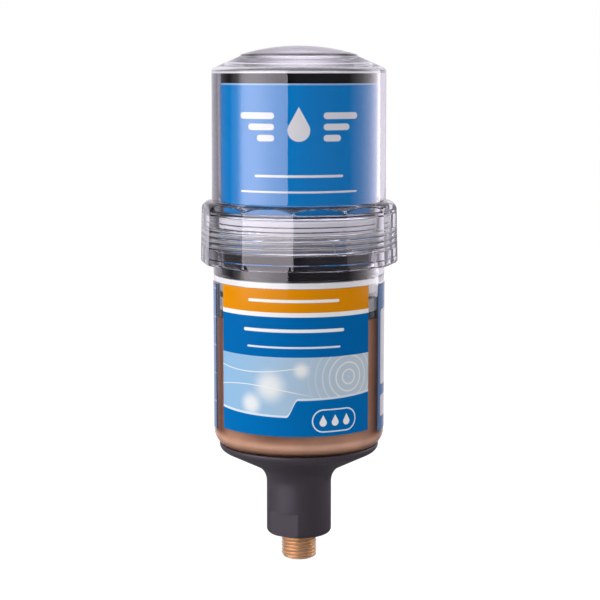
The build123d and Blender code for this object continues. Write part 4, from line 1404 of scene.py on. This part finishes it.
@dataclass
class Canister:
    """The clear canister with its neck thread and its spout, its two labels, and the grease in it."""

    outer_r: float = 31.7
    bore_r: float = 29.7
    bore_hole: float = 3.2
    corner: float = 6.0
    inner_corner: float = 3.5
    floor: float = 2.5
    spout_r: float = 6.4
    spout_length: float = 16.0
    thread_root: float = 31.75
    thread_depth: float = 0.8
    lead: float = 2.13
    turns: float = 5.6
    thread_foot: float = 0.2
    below_rim: float = 1.2
    rim_step: float = 0.4
    rim_round: float = 0.35
    band_r: float = 32.25
    band_height: float = 3.4
    band_step: float = 0.3
    groove_run: float = 0.35
    groove_floor: float = 0.15
    ring_gap: float = 0.2
    ring_height: float = 1.8
    ring_start: float = 0.1
    ring_end: float = 0.4
    label_gap: float = 0.02
    label_thickness: float = 0.15
    surface_width: float = 2.0
    surface_height: float = 0.3
    wet_gap: float = 0.02
    empty_height: float = 3.1
    columns: int = 288

    def build(self, tools: Workshop) -> None:
        """Builds the canister, its labels and the grease.

        Args:
            tools: the shared node tools.
        """
        self.shell(tools)
        self.labels()
        self.grease()

    def shell(self, tools: Workshop) -> bpy.types.Object:
        """Makes the clear wall, whose inside is wetted as far up as the grease goes.

        Args:
            tools: the shared node tools.

        Returns:
            The piece.
        """
        low, high = node_box("canister")
        grease_top = node_box("grease")[1].z
        ring_low = node_box("canister_label_front")[1].z + self.ring_gap
        ring_high = ring_low + self.ring_height
        seat = low.z + self.spout_length
        thread_top = high.z - self.below_rim
        thread_low = thread_top - self.lead * self.turns
        band_low = thread_top - self.band_height
        band_middle = thread_top - self.band_height / 2
        profile = Profile(
            [
                Corner(self.bore_hole, low.z),
                Corner(self.spout_r, low.z, 0.4),
                Corner(self.spout_r, seat, 0.3),
                Corner(self.outer_r, seat, self.corner),
                # the milky ring over the label
                Corner(self.outer_r, ring_low - self.ring_start),
                Corner(self.outer_r, ring_low, zone=Zone.SATIN),
                Corner(self.outer_r, ring_high, zone=Zone.SATIN),
                Corner(self.outer_r, ring_high + self.ring_end),
                # the thread
                Corner(self.outer_r, thread_low),
                Corner(self.thread_root, thread_low + self.thread_foot, zone=Zone.THREAD),
                Corner(self.thread_root, band_low),
                # the neck band, with a groove round its middle
                Corner(self.band_r, band_low + self.band_step, 0.1, Zone.SATIN),
                Corner(self.band_r, band_middle - self.groove_run, 0.1, Zone.SATIN),
                Corner(self.outer_r, band_middle - self.groove_floor),
                Corner(self.outer_r, band_middle),
                Corner(self.band_r, band_middle + self.band_step, 0.1, Zone.SATIN),
                Corner(self.band_r, thread_top, 0.3, Zone.SATIN),
                # the rim
                Corner(self.outer_r, thread_top + self.rim_step, 0.1, Zone.SATIN),
                Corner(self.outer_r, high.z, self.rim_round),
                Corner(self.bore_r, high.z, self.rim_round),
                # the bore
                Corner(self.bore_r, grease_top + self.wet_gap, zone=Zone.WETTED),
                Corner(self.bore_r, seat + self.floor, self.inner_corner, Zone.WETTED),
                Corner(self.bore_hole, seat + self.floor),
            ],
            loop=True,
        )
        obj = Turning("canister_moulded", profile, even_angles(self.columns), lead=self.lead).build()
        tools.thread.apply(
            obj,
            Lead=self.lead * MM, Depth=self.thread_depth * MM, Start=thread_low * MM, End=band_low * MM,
            Phase=0.0, Foot=0.06, Crest=0.94, Flat=NO_FLAT, Milk=1.0,
            Material=FINISHES["canister"].material(),
        )
        dress(obj, "canister", "root", Slot.CLEAR, "canister")
        obj.data.materials.append(FINISHES["wetted"].material())
        wetted = np.zeros(len(obj.data.polygons), np.float32)
        obj.data.attributes["wetted"].data.foreach_get("value", wetted)
        obj.data.polygons.foreach_set("material_index", (wetted > 0.5).astype(np.int32))
        return obj

    def labels(self) -> None:
        """Makes the picture label in front and the plain one behind it."""
        outer = self.outer_r + self.label_thickness
        inner = self.outer_r + self.label_gap
        low, high = node_box("canister_label_front")
        front = [math.degrees(math.asin(x / outer)) for x in (low.x, high.x)]
        reach = (self._lowest_y("canister_label_back", side) for side in (1, -1))
        start, end = (math.degrees(math.acos(min(1.0, -y / outer))) for y in reach)
        for node, finish, edges in (
            ("canister_label_front", "front_label", front),
            ("canister_label_back", "rear_label", (start, 360 - end)),
        ):
            low, high = node_box(node)
            Label(f"{node}_print", finish, inner, outer, low.z, high.z, *edges).build(node)

    def _lowest_y(self, node: str, side: int) -> float:
        """Gives how far toward the front a CAD label reaches on one side, in millimetres."""
        found = [v.co.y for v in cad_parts[node].data.vertices if v.co.x * side > 0]
        return min(found) / MM

    def grease(self) -> bpy.types.Object:
        """Makes the charge of grease, which flattens as the piston comes down.

        Returns:
            The piece.
        """
        low, high = node_box("grease")
        radius = high.x
        profile = Profile(
            [
                Corner(0.0, low.z),
                Corner(radius, low.z, self.inner_corner, spacing=3.0),
                Corner(radius, high.z - self.surface_height, spacing=1.5),
                Corner(radius - self.surface_width, high.z, spacing=4.0),
                Corner(0.0, high.z),
            ],
            loop=False,
        )
        obj = Turning("grease_charge", profile).build()
        dress(obj, "grease", "root", Slot.GREASE, "grease")
        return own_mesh(obj)


@dataclass
class PistonSet:
    """The white piston with its ribs, its ring and its lip."""

    ring_depth: float = 1.2
    ring_round: float = 0.45
    ring_round_share: float = 0.35
    wall: float = 2.6
    floor: float = 3.0
    hub_r: float = 8.0
    hub_gap: float = 0.05
    rib_count: int = 8
    rib_thickness: float = 2.0
    rib_sink: float = 0.4
    rib_overlap: float = 1.0
    edge: float = 0.4

    def build(self, tools: Workshop) -> None:
        """Builds the piston and its two rings.

        Args:
            tools: the shared node tools.
        """
        self.piston(tools)
        self.ring("piston_ring")
        self.ring("piston_lip")

    def piston(self, tools: Workshop) -> bpy.types.Object:
        """Makes the cup, and sets its ribs out round the hub.

        Args:
            tools: the shared node tools.

        Returns:
            The piece.
        """
        low, high = node_box("piston")
        ring_low, ring_high = node_box("piston_ring")
        lip_high = node_box("piston_lip")[1]
        radius = high.x
        groove = radius - self.ring_depth
        inner = groove - self.wall
        floor = low.z + self.floor
        hub_top = node_box("spindle_plate")[0].z - self.hub_gap
        profile = Profile(
            [
                Corner(0.0, low.z),
                Corner(groove, low.z),
                Corner(groove, lip_high.z),
                Corner(radius, lip_high.z, self.edge),
                Corner(radius, ring_low.z, self.edge),
                Corner(groove, ring_low.z),
                Corner(groove, ring_high.z),
                Corner(radius, ring_high.z, self.edge),
                Corner(radius, high.z, self.edge),
                Corner(inner, high.z, self.edge),
                Corner(inner, floor, 1.0),
                Corner(self.hub_r, floor, 0.6),
                Corner(self.hub_r, hub_top, 0.3),
                Corner(0.0, hub_top),
            ],
            loop=False,
        )
        obj = Turning("piston_moulded", profile).build()
        length = inner - self.hub_r
        height = hub_top - floor + self.rib_sink
        tools.rays.apply(
            obj,
            Count=self.rib_count, Radius=(self.hub_r + length / 2) * MM,
            Length=(length + self.rib_overlap) * MM, Width=self.rib_thickness * MM,
            Thickness=height * MM, Height=(floor - self.rib_sink + height / 2) * MM,
            Centre_X=0.0, Centre_Y=0.0, First_Angle=0.0, Angle_Step=math.tau / self.rib_count,
            Material=FINISHES["piston"].material(),
        )
        return dress(obj, "piston", "pusher", Slot.WHITE, "piston")

    def ring(self, node: str) -> bpy.types.Object:
        """Makes a rubber ring with a rounded face in its groove.

        Args:
            node: the CAD node of the ring.

        Returns:
            The piece.
        """
        low, high = node_box(node)
        inner = node_box("piston")[1].x - self.ring_depth
        rounding = min(self.ring_round, (high.z - low.z) * self.ring_round_share)
        profile = Profile(
            [
                Corner(inner, low.z),
                Corner(high.x, low.z, rounding),
                Corner(high.x, high.z, rounding),
                Corner(inner, high.z),
            ],
            loop=True,
        )
        return dress(Turning(f"{node}_moulded", profile).build(), "rubber", "pusher", Slot.RUBBER, node)


@dataclass
class Feed:
    """The spindle, with its thread between two flats."""

    radius: float = 4.0
    flat: float = 3.3
    lead: float = 2.0
    depth: float = 1.0
    foot_chamfer: float = 0.3
    head_chamfer: float = 0.5
    foot_overrun: float = 1.5
    head_overrun: float = 0.5
    columns: int = 56

    def build(self, tools: Workshop) -> None:
        """Builds the spindle.

        Args:
            tools: the shared node tools.
        """
        low, high = node_box("spindle")
        root = self.radius - self.depth
        profile = Profile(
            [
                Corner(0.0, low.z),
                Corner(root - self.foot_chamfer, low.z),
                Corner(root, low.z + self.foot_chamfer, zone=Zone.THREAD),
                Corner(root, high.z - self.head_chamfer),
                Corner(root - self.head_chamfer, high.z),
                Corner(0.0, high.z),
            ],
            loop=False,
        )
        obj = Turning("spindle_threaded", profile, even_angles(self.columns), lead=self.lead).build()
        tools.thread.apply(
            obj,
            Lead=self.lead * MM, Depth=self.depth * MM, Start=(low.z - self.foot_overrun) * MM,
            End=(high.z + self.head_overrun) * MM, Phase=0.0, Foot=0.25, Crest=0.7, Flat=self.flat * MM,
            Material=FINISHES["steel"].material(),
        )
        dress(obj, "steel", "pusher", Slot.STEEL, "spindle")


@dataclass
class DriveUnit:
    """The black casing with its lip, the wrap label, and the printed scales round the dials."""

    wall: float = 1.7
    lip_height: float = 1.0
    label_gap: float = 0.02
    scale_r: float = 4.9
    tick_length: float = 0.9
    tick_width: float = 0.28
    tick_thickness: float = 0.06
    tick_step: float = 30.0
    interval_ticks: int = 11
    volume_ticks: int = 4

    def build(self, tools: Workshop) -> None:
        """Builds the casing, its label and the dials' scales.

        Args:
            tools: the shared node tools.
        """
        self.casing()
        self.wrap_label()
        self.scale(tools, "interval_dial", self.interval_ticks)
        self.scale(tools, "volume_dial", self.volume_ticks)

    def casing(self) -> bpy.types.Object:
        """Makes the casing, its lip rounded where it stands on the canister's rim.

        Returns:
            The piece.
        """
        low, high = node_box("drive_housing")
        radius = node_box("drive_lid")[1].x
        rim = node_box("canister")[1].z
        profile = Profile(
            [
                Corner(radius - self.wall, low.z),
                Corner(radius, low.z),
                Corner(radius, rim),
                Corner(high.x, rim, 0.2),
                Corner(high.x, rim + self.lip_height, 0.3),
                Corner(radius, rim + self.lip_height, 0.1),
                Corner(radius, high.z),
                Corner(radius - self.wall, high.z),
            ],
            loop=True,
        )
        obj = Turning("drive_housing_moulded", profile).build()
        return dress(obj, "housing", "root", Slot.BLACK, "drive_housing")

    def wrap_label(self) -> bpy.types.Object:
        """Makes the label round the casing.

        Returns:
            The piece.
        """
        low, high = node_box("drive_label")
        inner = node_box("drive_lid")[1].x + self.label_gap
        label = Label("drive_label_print", "drive_label", inner, high.x, low.z, high.z, -180.0, 180.0)
        return label.build("drive_label")

    def scale(self, tools: Workshop, dial: str, count: int) -> bpy.types.Object:
        """Sets the printed ticks of a dial's scale out on the lid.

        Args:
            tools: the shared node tools.
            dial: the CAD node of the dial.
            count: how many ticks the scale has.

        Returns:
            The piece.
        """
        low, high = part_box(dial)
        centre = (low + high) / 2
        lid_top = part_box("drive_lid")[1].z
        obj = make_object(f"{dial}_scale", [], [])
        tools.rays.apply(
            obj,
            Count=count, Radius=self.scale_r * MM, Length=self.tick_length * MM, Width=self.tick_width * MM,
            Thickness=self.tick_thickness * MM, Height=lid_top + self.tick_thickness * MM / 2,
            Centre_X=centre.x, Centre_Y=centre.y,
            First_Angle=math.radians(90 - self.tick_step * (count - 1) / 2),
            Angle_Step=math.radians(self.tick_step), Material=FINISHES["ink"].material(),
        )
        return dress(obj, "ink", "root", Slot.WHITE)


@dataclass
class Cover:
    """The clear cover: dome, straight wall and twelve-sided collar with its inner thread. And its seal."""

    wall: float = 2.2
    draft: float = 0.2
    label_room: float = 1.05
    headroom: float = 1.4
    shoulder_round: float = 1.3
    haze_run: float = 0.3
    ledge_r: float = 21.6
    cone_rise: float = 4.5
    step: float = 0.7
    dome_inset: float = 0.5
    dome_rise: float = 3.1
    dome_rows: int = 14
    inner_dome_rows: int = 10
    sides: int = 12
    turn: float = -2.9
    collar_height: float = 22.7
    flat_r: float = 34.8
    collar_draft: float = 0.55
    collar_round: float = 3.5
    chamfer: float = 0.5
    mouth: float = 0.3
    corner_share: float = 0.97
    crest_share: float = 0.45
    facet_columns: int = 23
    bore_r: float = 32.4
    bore_height: float = 1.4
    thread_root: float = 33.0
    thread_depth: float = 0.85
    lead: float = 2.13
    thread_turns: float = 4.0
    thread_below_rim: float = 4.6
    relief: float = 0.35
    relief_height: float = 1.9
    seal_r: float = 0.5
    seal_gap: float = 0.1
    seal_steps: int = 16
    milk_run: float = 0.2
    plain_gap: float = 0.05
    cone_rings: tuple[tuple[float, Zone], ...] = (
        (0.07, Zone.SATIN), (0.12, Zone.PLAIN), (0.33, Zone.PLAIN), (0.35, Zone.SATIN),
        (0.42, Zone.SATIN), (0.44, Zone.PLAIN), (0.93, Zone.PLAIN),
    )

    def build(self, tools: Workshop) -> None:
        """Builds the cover and its seal."""
        self.cover(tools)
        self.seal()

    def cover(self, tools: Workshop) -> bpy.types.Object:
        """Makes the moulding as one closed wall, from the dome's top round the collar and back up inside.

        Args:
            tools: the shared node tools.

        Returns:
            The piece.
        """
        low = node_box("protective_cover")[0]
        inner_r = node_box("drive_label")[1].x + self.label_room
        outer_r = inner_r + self.wall
        shoulder = node_box("drive_lid")[1].z + self.headroom
        ledge = shoulder + self.cone_rise
        slope = self.cone_rise / (outer_r - self.ledge_r)
        drop = self.wall * (math.sqrt(1 + slope**2) - slope)
        inner_shoulder = shoulder - drop
        dome_r = self.ledge_r - self.dome_inset
        collar_top = low.z + self.collar_height
        corner = 1 / math.cos(math.pi / self.sides)
        top_r, bottom_r = self.flat_r * corner, (self.flat_r + self.collar_draft) * corner
        relief_r = self.thread_root + self.relief
        thread_end = node_box("canister")[1].z - self.thread_below_rim
        thread_start = thread_end - self.thread_turns * self.lead
        seal_seat = node_box("cover_seal")[1].z + self.seal_gap
        bore_low = seal_seat - self.bore_height
        haze = self.shoulder_round + self.haze_run
        foot, peak = Vector((inner_r, inner_shoulder)), Vector((self.ledge_r - self.wall, ledge - drop))
        rings = [(foot.lerp(peak, share), zone) for share, zone in self.cone_rings]
        profile = Profile(
            [
                # outside, from the dome down the wall and over the collar
                *dome(dome_r, ledge + self.step, self.dome_rise, self.dome_rows),
                Corner(dome_r, ledge + self.step, 0.25, Zone.HAZY),
                Corner(self.ledge_r, ledge, 0.2),
                Corner(outer_r - self.draft, shoulder, self.shoulder_round, Zone.HAZY),
                Corner(outer_r - self.draft * (1 - haze / (shoulder - collar_top)), shoulder - haze),
                Corner(outer_r, collar_top, 0.6),
                Corner(top_r, collar_top, self.collar_round, Zone.FACETED, 2.0),
                Corner(bottom_r, low.z + self.chamfer, zone=Zone.FACETED),
                Corner(bottom_r - self.chamfer, low.z, 0.1, Zone.FACETED, 1.0),
                # inside the collar: relief, thread and bore up to the seal's seat
                Corner(relief_r + self.mouth, low.z, 0.1),
                Corner(relief_r, low.z + self.chamfer),
                Corner(relief_r, low.z + self.relief_height),
                Corner(self.thread_root, low.z + self.relief_height + self.relief),
                Corner(self.thread_root, thread_start, zone=Zone.THREAD),
                Corner(self.thread_root, thread_end),
                Corner(self.thread_root, bore_low, 0.3),
                Corner(self.bore_r, bore_low + self.chamfer),
                Corner(self.bore_r, seal_seat, 0.3),
                Corner(inner_r, seal_seat, 0.3),
                # inside the wall, the cone with its unpolished rings, and the dome; a plain row stands close
                # to each milky one, so that the milk doesn't spread along the wall
                Corner(inner_r, inner_shoulder - (self.milk_run + self.plain_gap)),
                Corner(inner_r, inner_shoulder - self.milk_run, zone=Zone.SATIN),
                Corner(inner_r, inner_shoulder, 0.1, Zone.SATIN),
                *(Corner(ring.x, ring.y, zone=zone) for ring, zone in rings),
                Corner(self.ledge_r - self.wall, ledge - drop, 0.3, Zone.SATIN),
                Corner(dome_r - self.wall, ledge - drop),
                *dome(dome_r - self.wall, ledge - drop, self.dome_rise, self.inner_dome_rows)[::-1],
            ],
            loop=False,
        )
        obj = Turning("protective_cover_moulded", profile, self._angles(), self._facet, self.lead).build()
        tools.thread.apply(
            obj,
            Lead=self.lead * MM, Depth=-self.thread_depth * MM, Start=thread_start * MM, End=thread_end * MM,
            Phase=0.5, Foot=0.06, Crest=0.94, Flat=NO_FLAT, Milk=0.25, Material=FINISHES["cover"].material(),
        )
        return dress(obj, "cover", "cover", Slot.CLEAR, "protective_cover")

    def _angles(self) -> np.ndarray:
        """Works out the columns: even over each facet, and close together at its corners.

        Returns:
            Their angles.
        """
        half = math.pi / self.sides
        flat = np.linspace(-1, 1, self.facet_columns) * half * self.corner_share
        rounding = np.array([1 - (1 - self.corner_share) / 2, 1.0]) * half
        facet = np.concatenate([-rounding[:1], flat, rounding])
        middles = np.radians(self.turn) + half + np.arange(self.sides) * 2 * half
        return np.concatenate([middle + facet for middle in middles])

    def _facet(self, radius: np.ndarray, height: np.ndarray, angles: np.ndarray, zones: list) -> np.ndarray:
        """Cuts the collar's twelve sides, with their draft and slightly rounded corners.

        Args:
            radius: each row's radius.
            height: each row's height.
            angles: each column's angle.
            zones: each row's zone.

        Returns:
            The radius by row and column.
        """
        low = node_box("protective_cover")[0]
        half = math.pi / self.sides
        away = (angles - math.radians(self.turn)) % (2 * half) - half
        share = np.clip((height - low.z) / self.collar_height, 0, 1)
        flat = self.flat_r + self.collar_draft * (1 - share)
        facet = flat / np.cos(away)
        crest = flat / math.cos(half * self.corner_share)
        facet = np.where(facet > crest, crest + (facet - crest) * self.crest_share, facet)
        marked = np.array([zone is Zone.FACETED for zone in zones])[:, None]
        full = np.repeat(radius, angles.shape[1], axis=1)
        return np.where(marked, np.minimum(full, facet), full)

    def seal(self) -> bpy.types.Object:
        """Makes the O-ring on the canister's rim.

        Returns:
            The piece.
        """
        low, high = node_box("cover_seal")
        centre, middle = high.x - self.seal_r, (low.z + high.z) / 2
        ring = [
            Corner(centre + self.seal_r * math.cos(angle), middle + self.seal_r * math.sin(angle))
            for angle in even_angles(self.seal_steps)
        ]
        obj = Turning("cover_seal_ring", Profile(ring, loop=True)).build()
        return dress(obj, "rubber", "seal_ring", Slot.RUBBER, "cover_seal")


class FrameParts:
    """The CAD nodes that keep their own shape."""

    @staticmethod
    def build() -> None:
        """Gives each kept node its finish."""
        for finish, nodes in CAD_FINISHES.items():
            for node in nodes:
                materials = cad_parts[node].data.materials
                materials.clear()
                materials.append(FINISHES[finish].material())
                LOG.info("%s: %s", node, FINISHES[finish].name)


# ---------------------------------------------------------------- studio


def turned_to(target: Vector, place: Vector) -> Euler:
    """Gives the turn of a lamp or a camera at a place that looks at a target."""
    return (target - place).to_track_quat("-Z", "Y").to_euler()


@dataclass
class Studio:
    """A pale floor, soft lamps, two softboxes that show in gloss, and the camera."""

    # pairs of how far along a softbox, from its first edge to its last, and the share of its full glow there
    LEFT_FADE = (
        (0.0, 0.0), (0.18, 0.18), (0.29, 0.85), (0.4, 1.0),
        (0.55, 1.0), (0.68, 0.87), (0.81, 0.72), (1.0, 0.62),
    )
    RIGHT_FADE = ((0.0, 0.0), (0.3, 0.3), (0.65, 0.8), (1.0, 1.0))

    eye: tuple[float, float, float] = (0.0004, -0.596, 0.1725)
    aim_height: float = 0.0884
    lens: float = 97.0
    nearest: float = 0.05
    ambient: float = 0.16
    tint: str = "#F1ECF7"
    gloss_behind: tuple[float, ...] = (0.5, 0.95, 0.05, 0.9)
    gloss_overhead: tuple[float, ...] = (0.62, 0.82, 0.0, 2.0)
    clear_left: tuple[float, ...] = (-0.2, -0.03, 0.27, 1.0)
    clear_overhead: tuple[float, ...] = (0.0, 0.4, 1.0, 0.36)
    clear_behind: tuple[float, ...] = (0.3, 0.75, 0.12, 1.0)
    clear_steep: tuple[float, ...] = (0.5, 0.85, 0.0, 2.8)
    lamp_aim: float = 0.09
    sight_height: float = 0.1
    softbox_tint: str = "#F8F0F8"
    softbox_distance: float = 0.75
    softbox_low: float = -0.12
    softbox_high: float = 0.42
    softbox_columns: int = 32
    floor_color: str = "#E6E6E6"
    floor_gap: float = 0.0002
    floor_reach: float = 4.0
    floor_glow: float = 1.165
    floor_glow_share: float = 0.86

    def build(self) -> None:
        """Builds the studio round the object."""
        bpy.context.scene.view_settings.view_transform = "Standard"
        self.world()
        self.floor()
        self.lamps()
        self.softbox("left_softbox", start=-101.0, end=-14.0, fade=self.LEFT_FADE, level=6.9)
        self.softbox("right_softbox", start=66.0, end=132.0, fade=self.RIGHT_FADE, level=4.2)
        self.camera()

    def surround(
        self, tree: bpy.types.NodeTree, way: bpy.types.NodeSocket
    ) -> tuple[bpy.types.NodeSocket, Field]:
        """Works out the surround that the eye, gloss and clear walls meet.

        It is white for the eye. For gloss it is white behind and overhead and dim in front. For clear walls
        it is white behind, with grey cards at the left and overhead.

        Args:
            tree: the world's or the floor's tree.
            way: the direction from the object.

        Returns:
            The colour, white for the eye and faintly violet for all else, and its strength.
        """
        path = add_node(tree, "ShaderNodeLightPath")
        parts = add_node(tree, "ShaderNodeSeparateXYZ", None, {0: way})
        across, back, up = (Field(tree, parts.outputs[i]) for i in range(3))
        gloss = back.ramp(*self.gloss_behind) + up.ramp(*self.gloss_overhead)
        cards = across.ramp(*self.clear_left) * up.ramp(*self.clear_overhead)
        through = cards * back.ramp(*self.clear_behind) + abs(up).ramp(*self.clear_steep)
        level = Field(tree, path.outputs["Is Glossy Ray"]) * (gloss - self.ambient) + self.ambient
        level = level + Field(tree, path.outputs["Is Transmission Ray"]) * (through - level)
        seen = path.outputs["Is Camera Ray"]
        colors = {"Factor": seen, 6: linear(self.tint), 7: linear("#FFFFFF")}
        color = add_node(tree, "ShaderNodeMix", {"data_type": "RGBA"}, colors)
        return color.outputs[2], level.then("MAXIMUM", Field(tree, seen))

    def world(self) -> None:
        """Makes the surround."""
        world = bpy.data.worlds.new("studio")
        bpy.context.scene.world = world
        tree = empty_tree(world)
        color, level = self.surround(tree, add_node(tree, "ShaderNodeTexCoord").outputs["Generated"])
        background = add_node(tree, "ShaderNodeBackground", None, {"Color": color, "Strength": level})
        add_node(tree, "ShaderNodeOutputWorld", None, {0: background.outputs[0]})

    def floor(self) -> None:
        """Makes the pale floor just under the outlet. It glows as the surround does, and keeps the shadow."""
        height, reach = CAD_BOX[0].z - self.floor_gap, self.floor_reach
        corners = ((-1, -1), (1, -1), (1, 1), (-1, 1))
        obj = make_object("floor", [(x * reach, y * reach, height) for x, y in corners], [(0, 1, 2, 3)])
        made = bpy.data.materials.new("pale_floor")
        tree = empty_tree(made)
        place = add_node(tree, "ShaderNodeTexCoord").outputs["Object"]
        middle = {0: place, 1: (0.0, 0.0, self.sight_height)}
        sight = add_node(tree, "ShaderNodeVectorMath", {"operation": "SUBTRACT"}, middle).outputs[0]
        way = add_node(tree, "ShaderNodeVectorMath", {"operation": "NORMALIZE"}, {0: sight}).outputs[0]
        diffuse = Field(tree, add_node(tree, "ShaderNodeLightPath").outputs["Is Diffuse Ray"])
        matt = add_node(tree, "ShaderNodeBsdfDiffuse", None, {"Color": linear(self.floor_color)})
        color, level = self.surround(tree, way)
        light = {"Color": color, "Strength": level * self.floor_glow}
        glow = add_node(tree, "ShaderNodeEmission", None, light)
        share = (diffuse * -1.0 + 1.0) * self.floor_glow_share
        mix = add_node(tree, "ShaderNodeMixShader", None, {0: share, 1: matt.outputs[0], 2: glow.outputs[0]})
        add_node(tree, "ShaderNodeOutputMaterial", None, {"Surface": mix.outputs[0]})
        obj.data.materials.append(made)

    def lamps(self) -> None:
        """Adds the soft lamps: they light matt surfaces and don't show in gloss."""
        middle = Vector((0, 0, self.lamp_aim))
        for name, place, size, power in (
            ("key", (-0.72, -0.22, 0.22), 0.5, 4.5),
            ("fill", (0.42, -0.6, 0.2), 0.5, 1.45),
            ("back", (0.3, 0.7, 0.3), 0.6, 2.6),
            ("top", (0.0, -0.1, 0.85), 0.5, 3.2),
        ):
            lamp = bpy.data.lights.new(name, "AREA")
            lamp.shape = "SQUARE"
            lamp.size = size
            lamp.energy = power
            obj = bpy.data.objects.new(name, lamp)
            obj.location = place
            obj.rotation_euler = turned_to(middle, Vector(place))
            obj.visible_glossy = obj.visible_transmission = obj.visible_camera = False
            bpy.context.scene.collection.objects.link(obj)

    def softbox(self, name: str, start: float, end: float, fade: tuple, level: float) -> None:
        """Makes a curved upright screen that glows as a softbox does, and that only gloss shows.

        Args:
            name: the screen's name.
            start: its first edge, in degrees from the front.
            end: its last edge.
            fade: how the glow goes from the first edge to the last.
            level: the full glow.
        """
        columns, away = self.softbox_columns, self.softbox_distance
        points = []
        for i in range(columns + 1):
            angle = math.radians(start + (end - start) * i / columns - 90)
            for height in (self.softbox_low, self.softbox_high):
                points.append((away * math.cos(angle), away * math.sin(angle), height))
        faces = [(2 * i, 2 * i + 2, 2 * i + 3, 2 * i + 1) for i in range(columns)]
        mesh = bpy.data.meshes.new(name)
        mesh.from_pydata(points, [], faces)
        glows = [float(np.interp(i / columns, *zip(*fade))) for i in range(columns + 1) for _ in (0, 1)]
        mesh.attributes.new("glow", "FLOAT", "POINT").data.foreach_set("value", glows)
        obj = bpy.data.objects.new(name, mesh)
        bpy.context.scene.collection.objects.link(obj)
        made = bpy.data.materials.new(name)
        tree = empty_tree(made)
        glow = add_node(tree, "ShaderNodeAttribute", {"attribute_name": "glow"}).outputs["Fac"]
        light = {"Color": linear(self.softbox_tint), "Strength": Field(tree, glow) * level}
        lit = add_node(tree, "ShaderNodeEmission", None, light)
        add_node(tree, "ShaderNodeOutputMaterial", None, {"Surface": lit.outputs[0]})
        made.cycles.emission_sampling = "NONE"
        mesh.materials.append(made)
        obj.visible_camera = obj.visible_diffuse = obj.visible_transmission = obj.visible_shadow = False

    def camera(self) -> None:
        """Sets the camera a little above the object's middle, level with its lid."""
        data = bpy.data.cameras.new("camera")
        data.lens = self.lens
        data.clip_start = self.nearest
        obj = bpy.data.objects.new("camera", data)
        obj.location = self.eye
        obj.rotation_euler = turned_to(Vector((self.eye[0], 0.0, self.aim_height)), Vector(self.eye))
        bpy.context.scene.collection.objects.link(obj)
        bpy.context.scene.camera = obj


def main() -> None:
    """Builds the lubricator's looks, from its outlet up, and the studio round it."""
    logging.basicConfig(level=logging.INFO, format="%(name)s: %(message)s")
    tools = Workshop()
    FrameParts.build()
    for part in (Outlet(), Canister(), PistonSet(), Feed(), DriveUnit(), Cover()):
        part.build(tools)
    Studio().build()


if __name__ == "__main__":
    main()
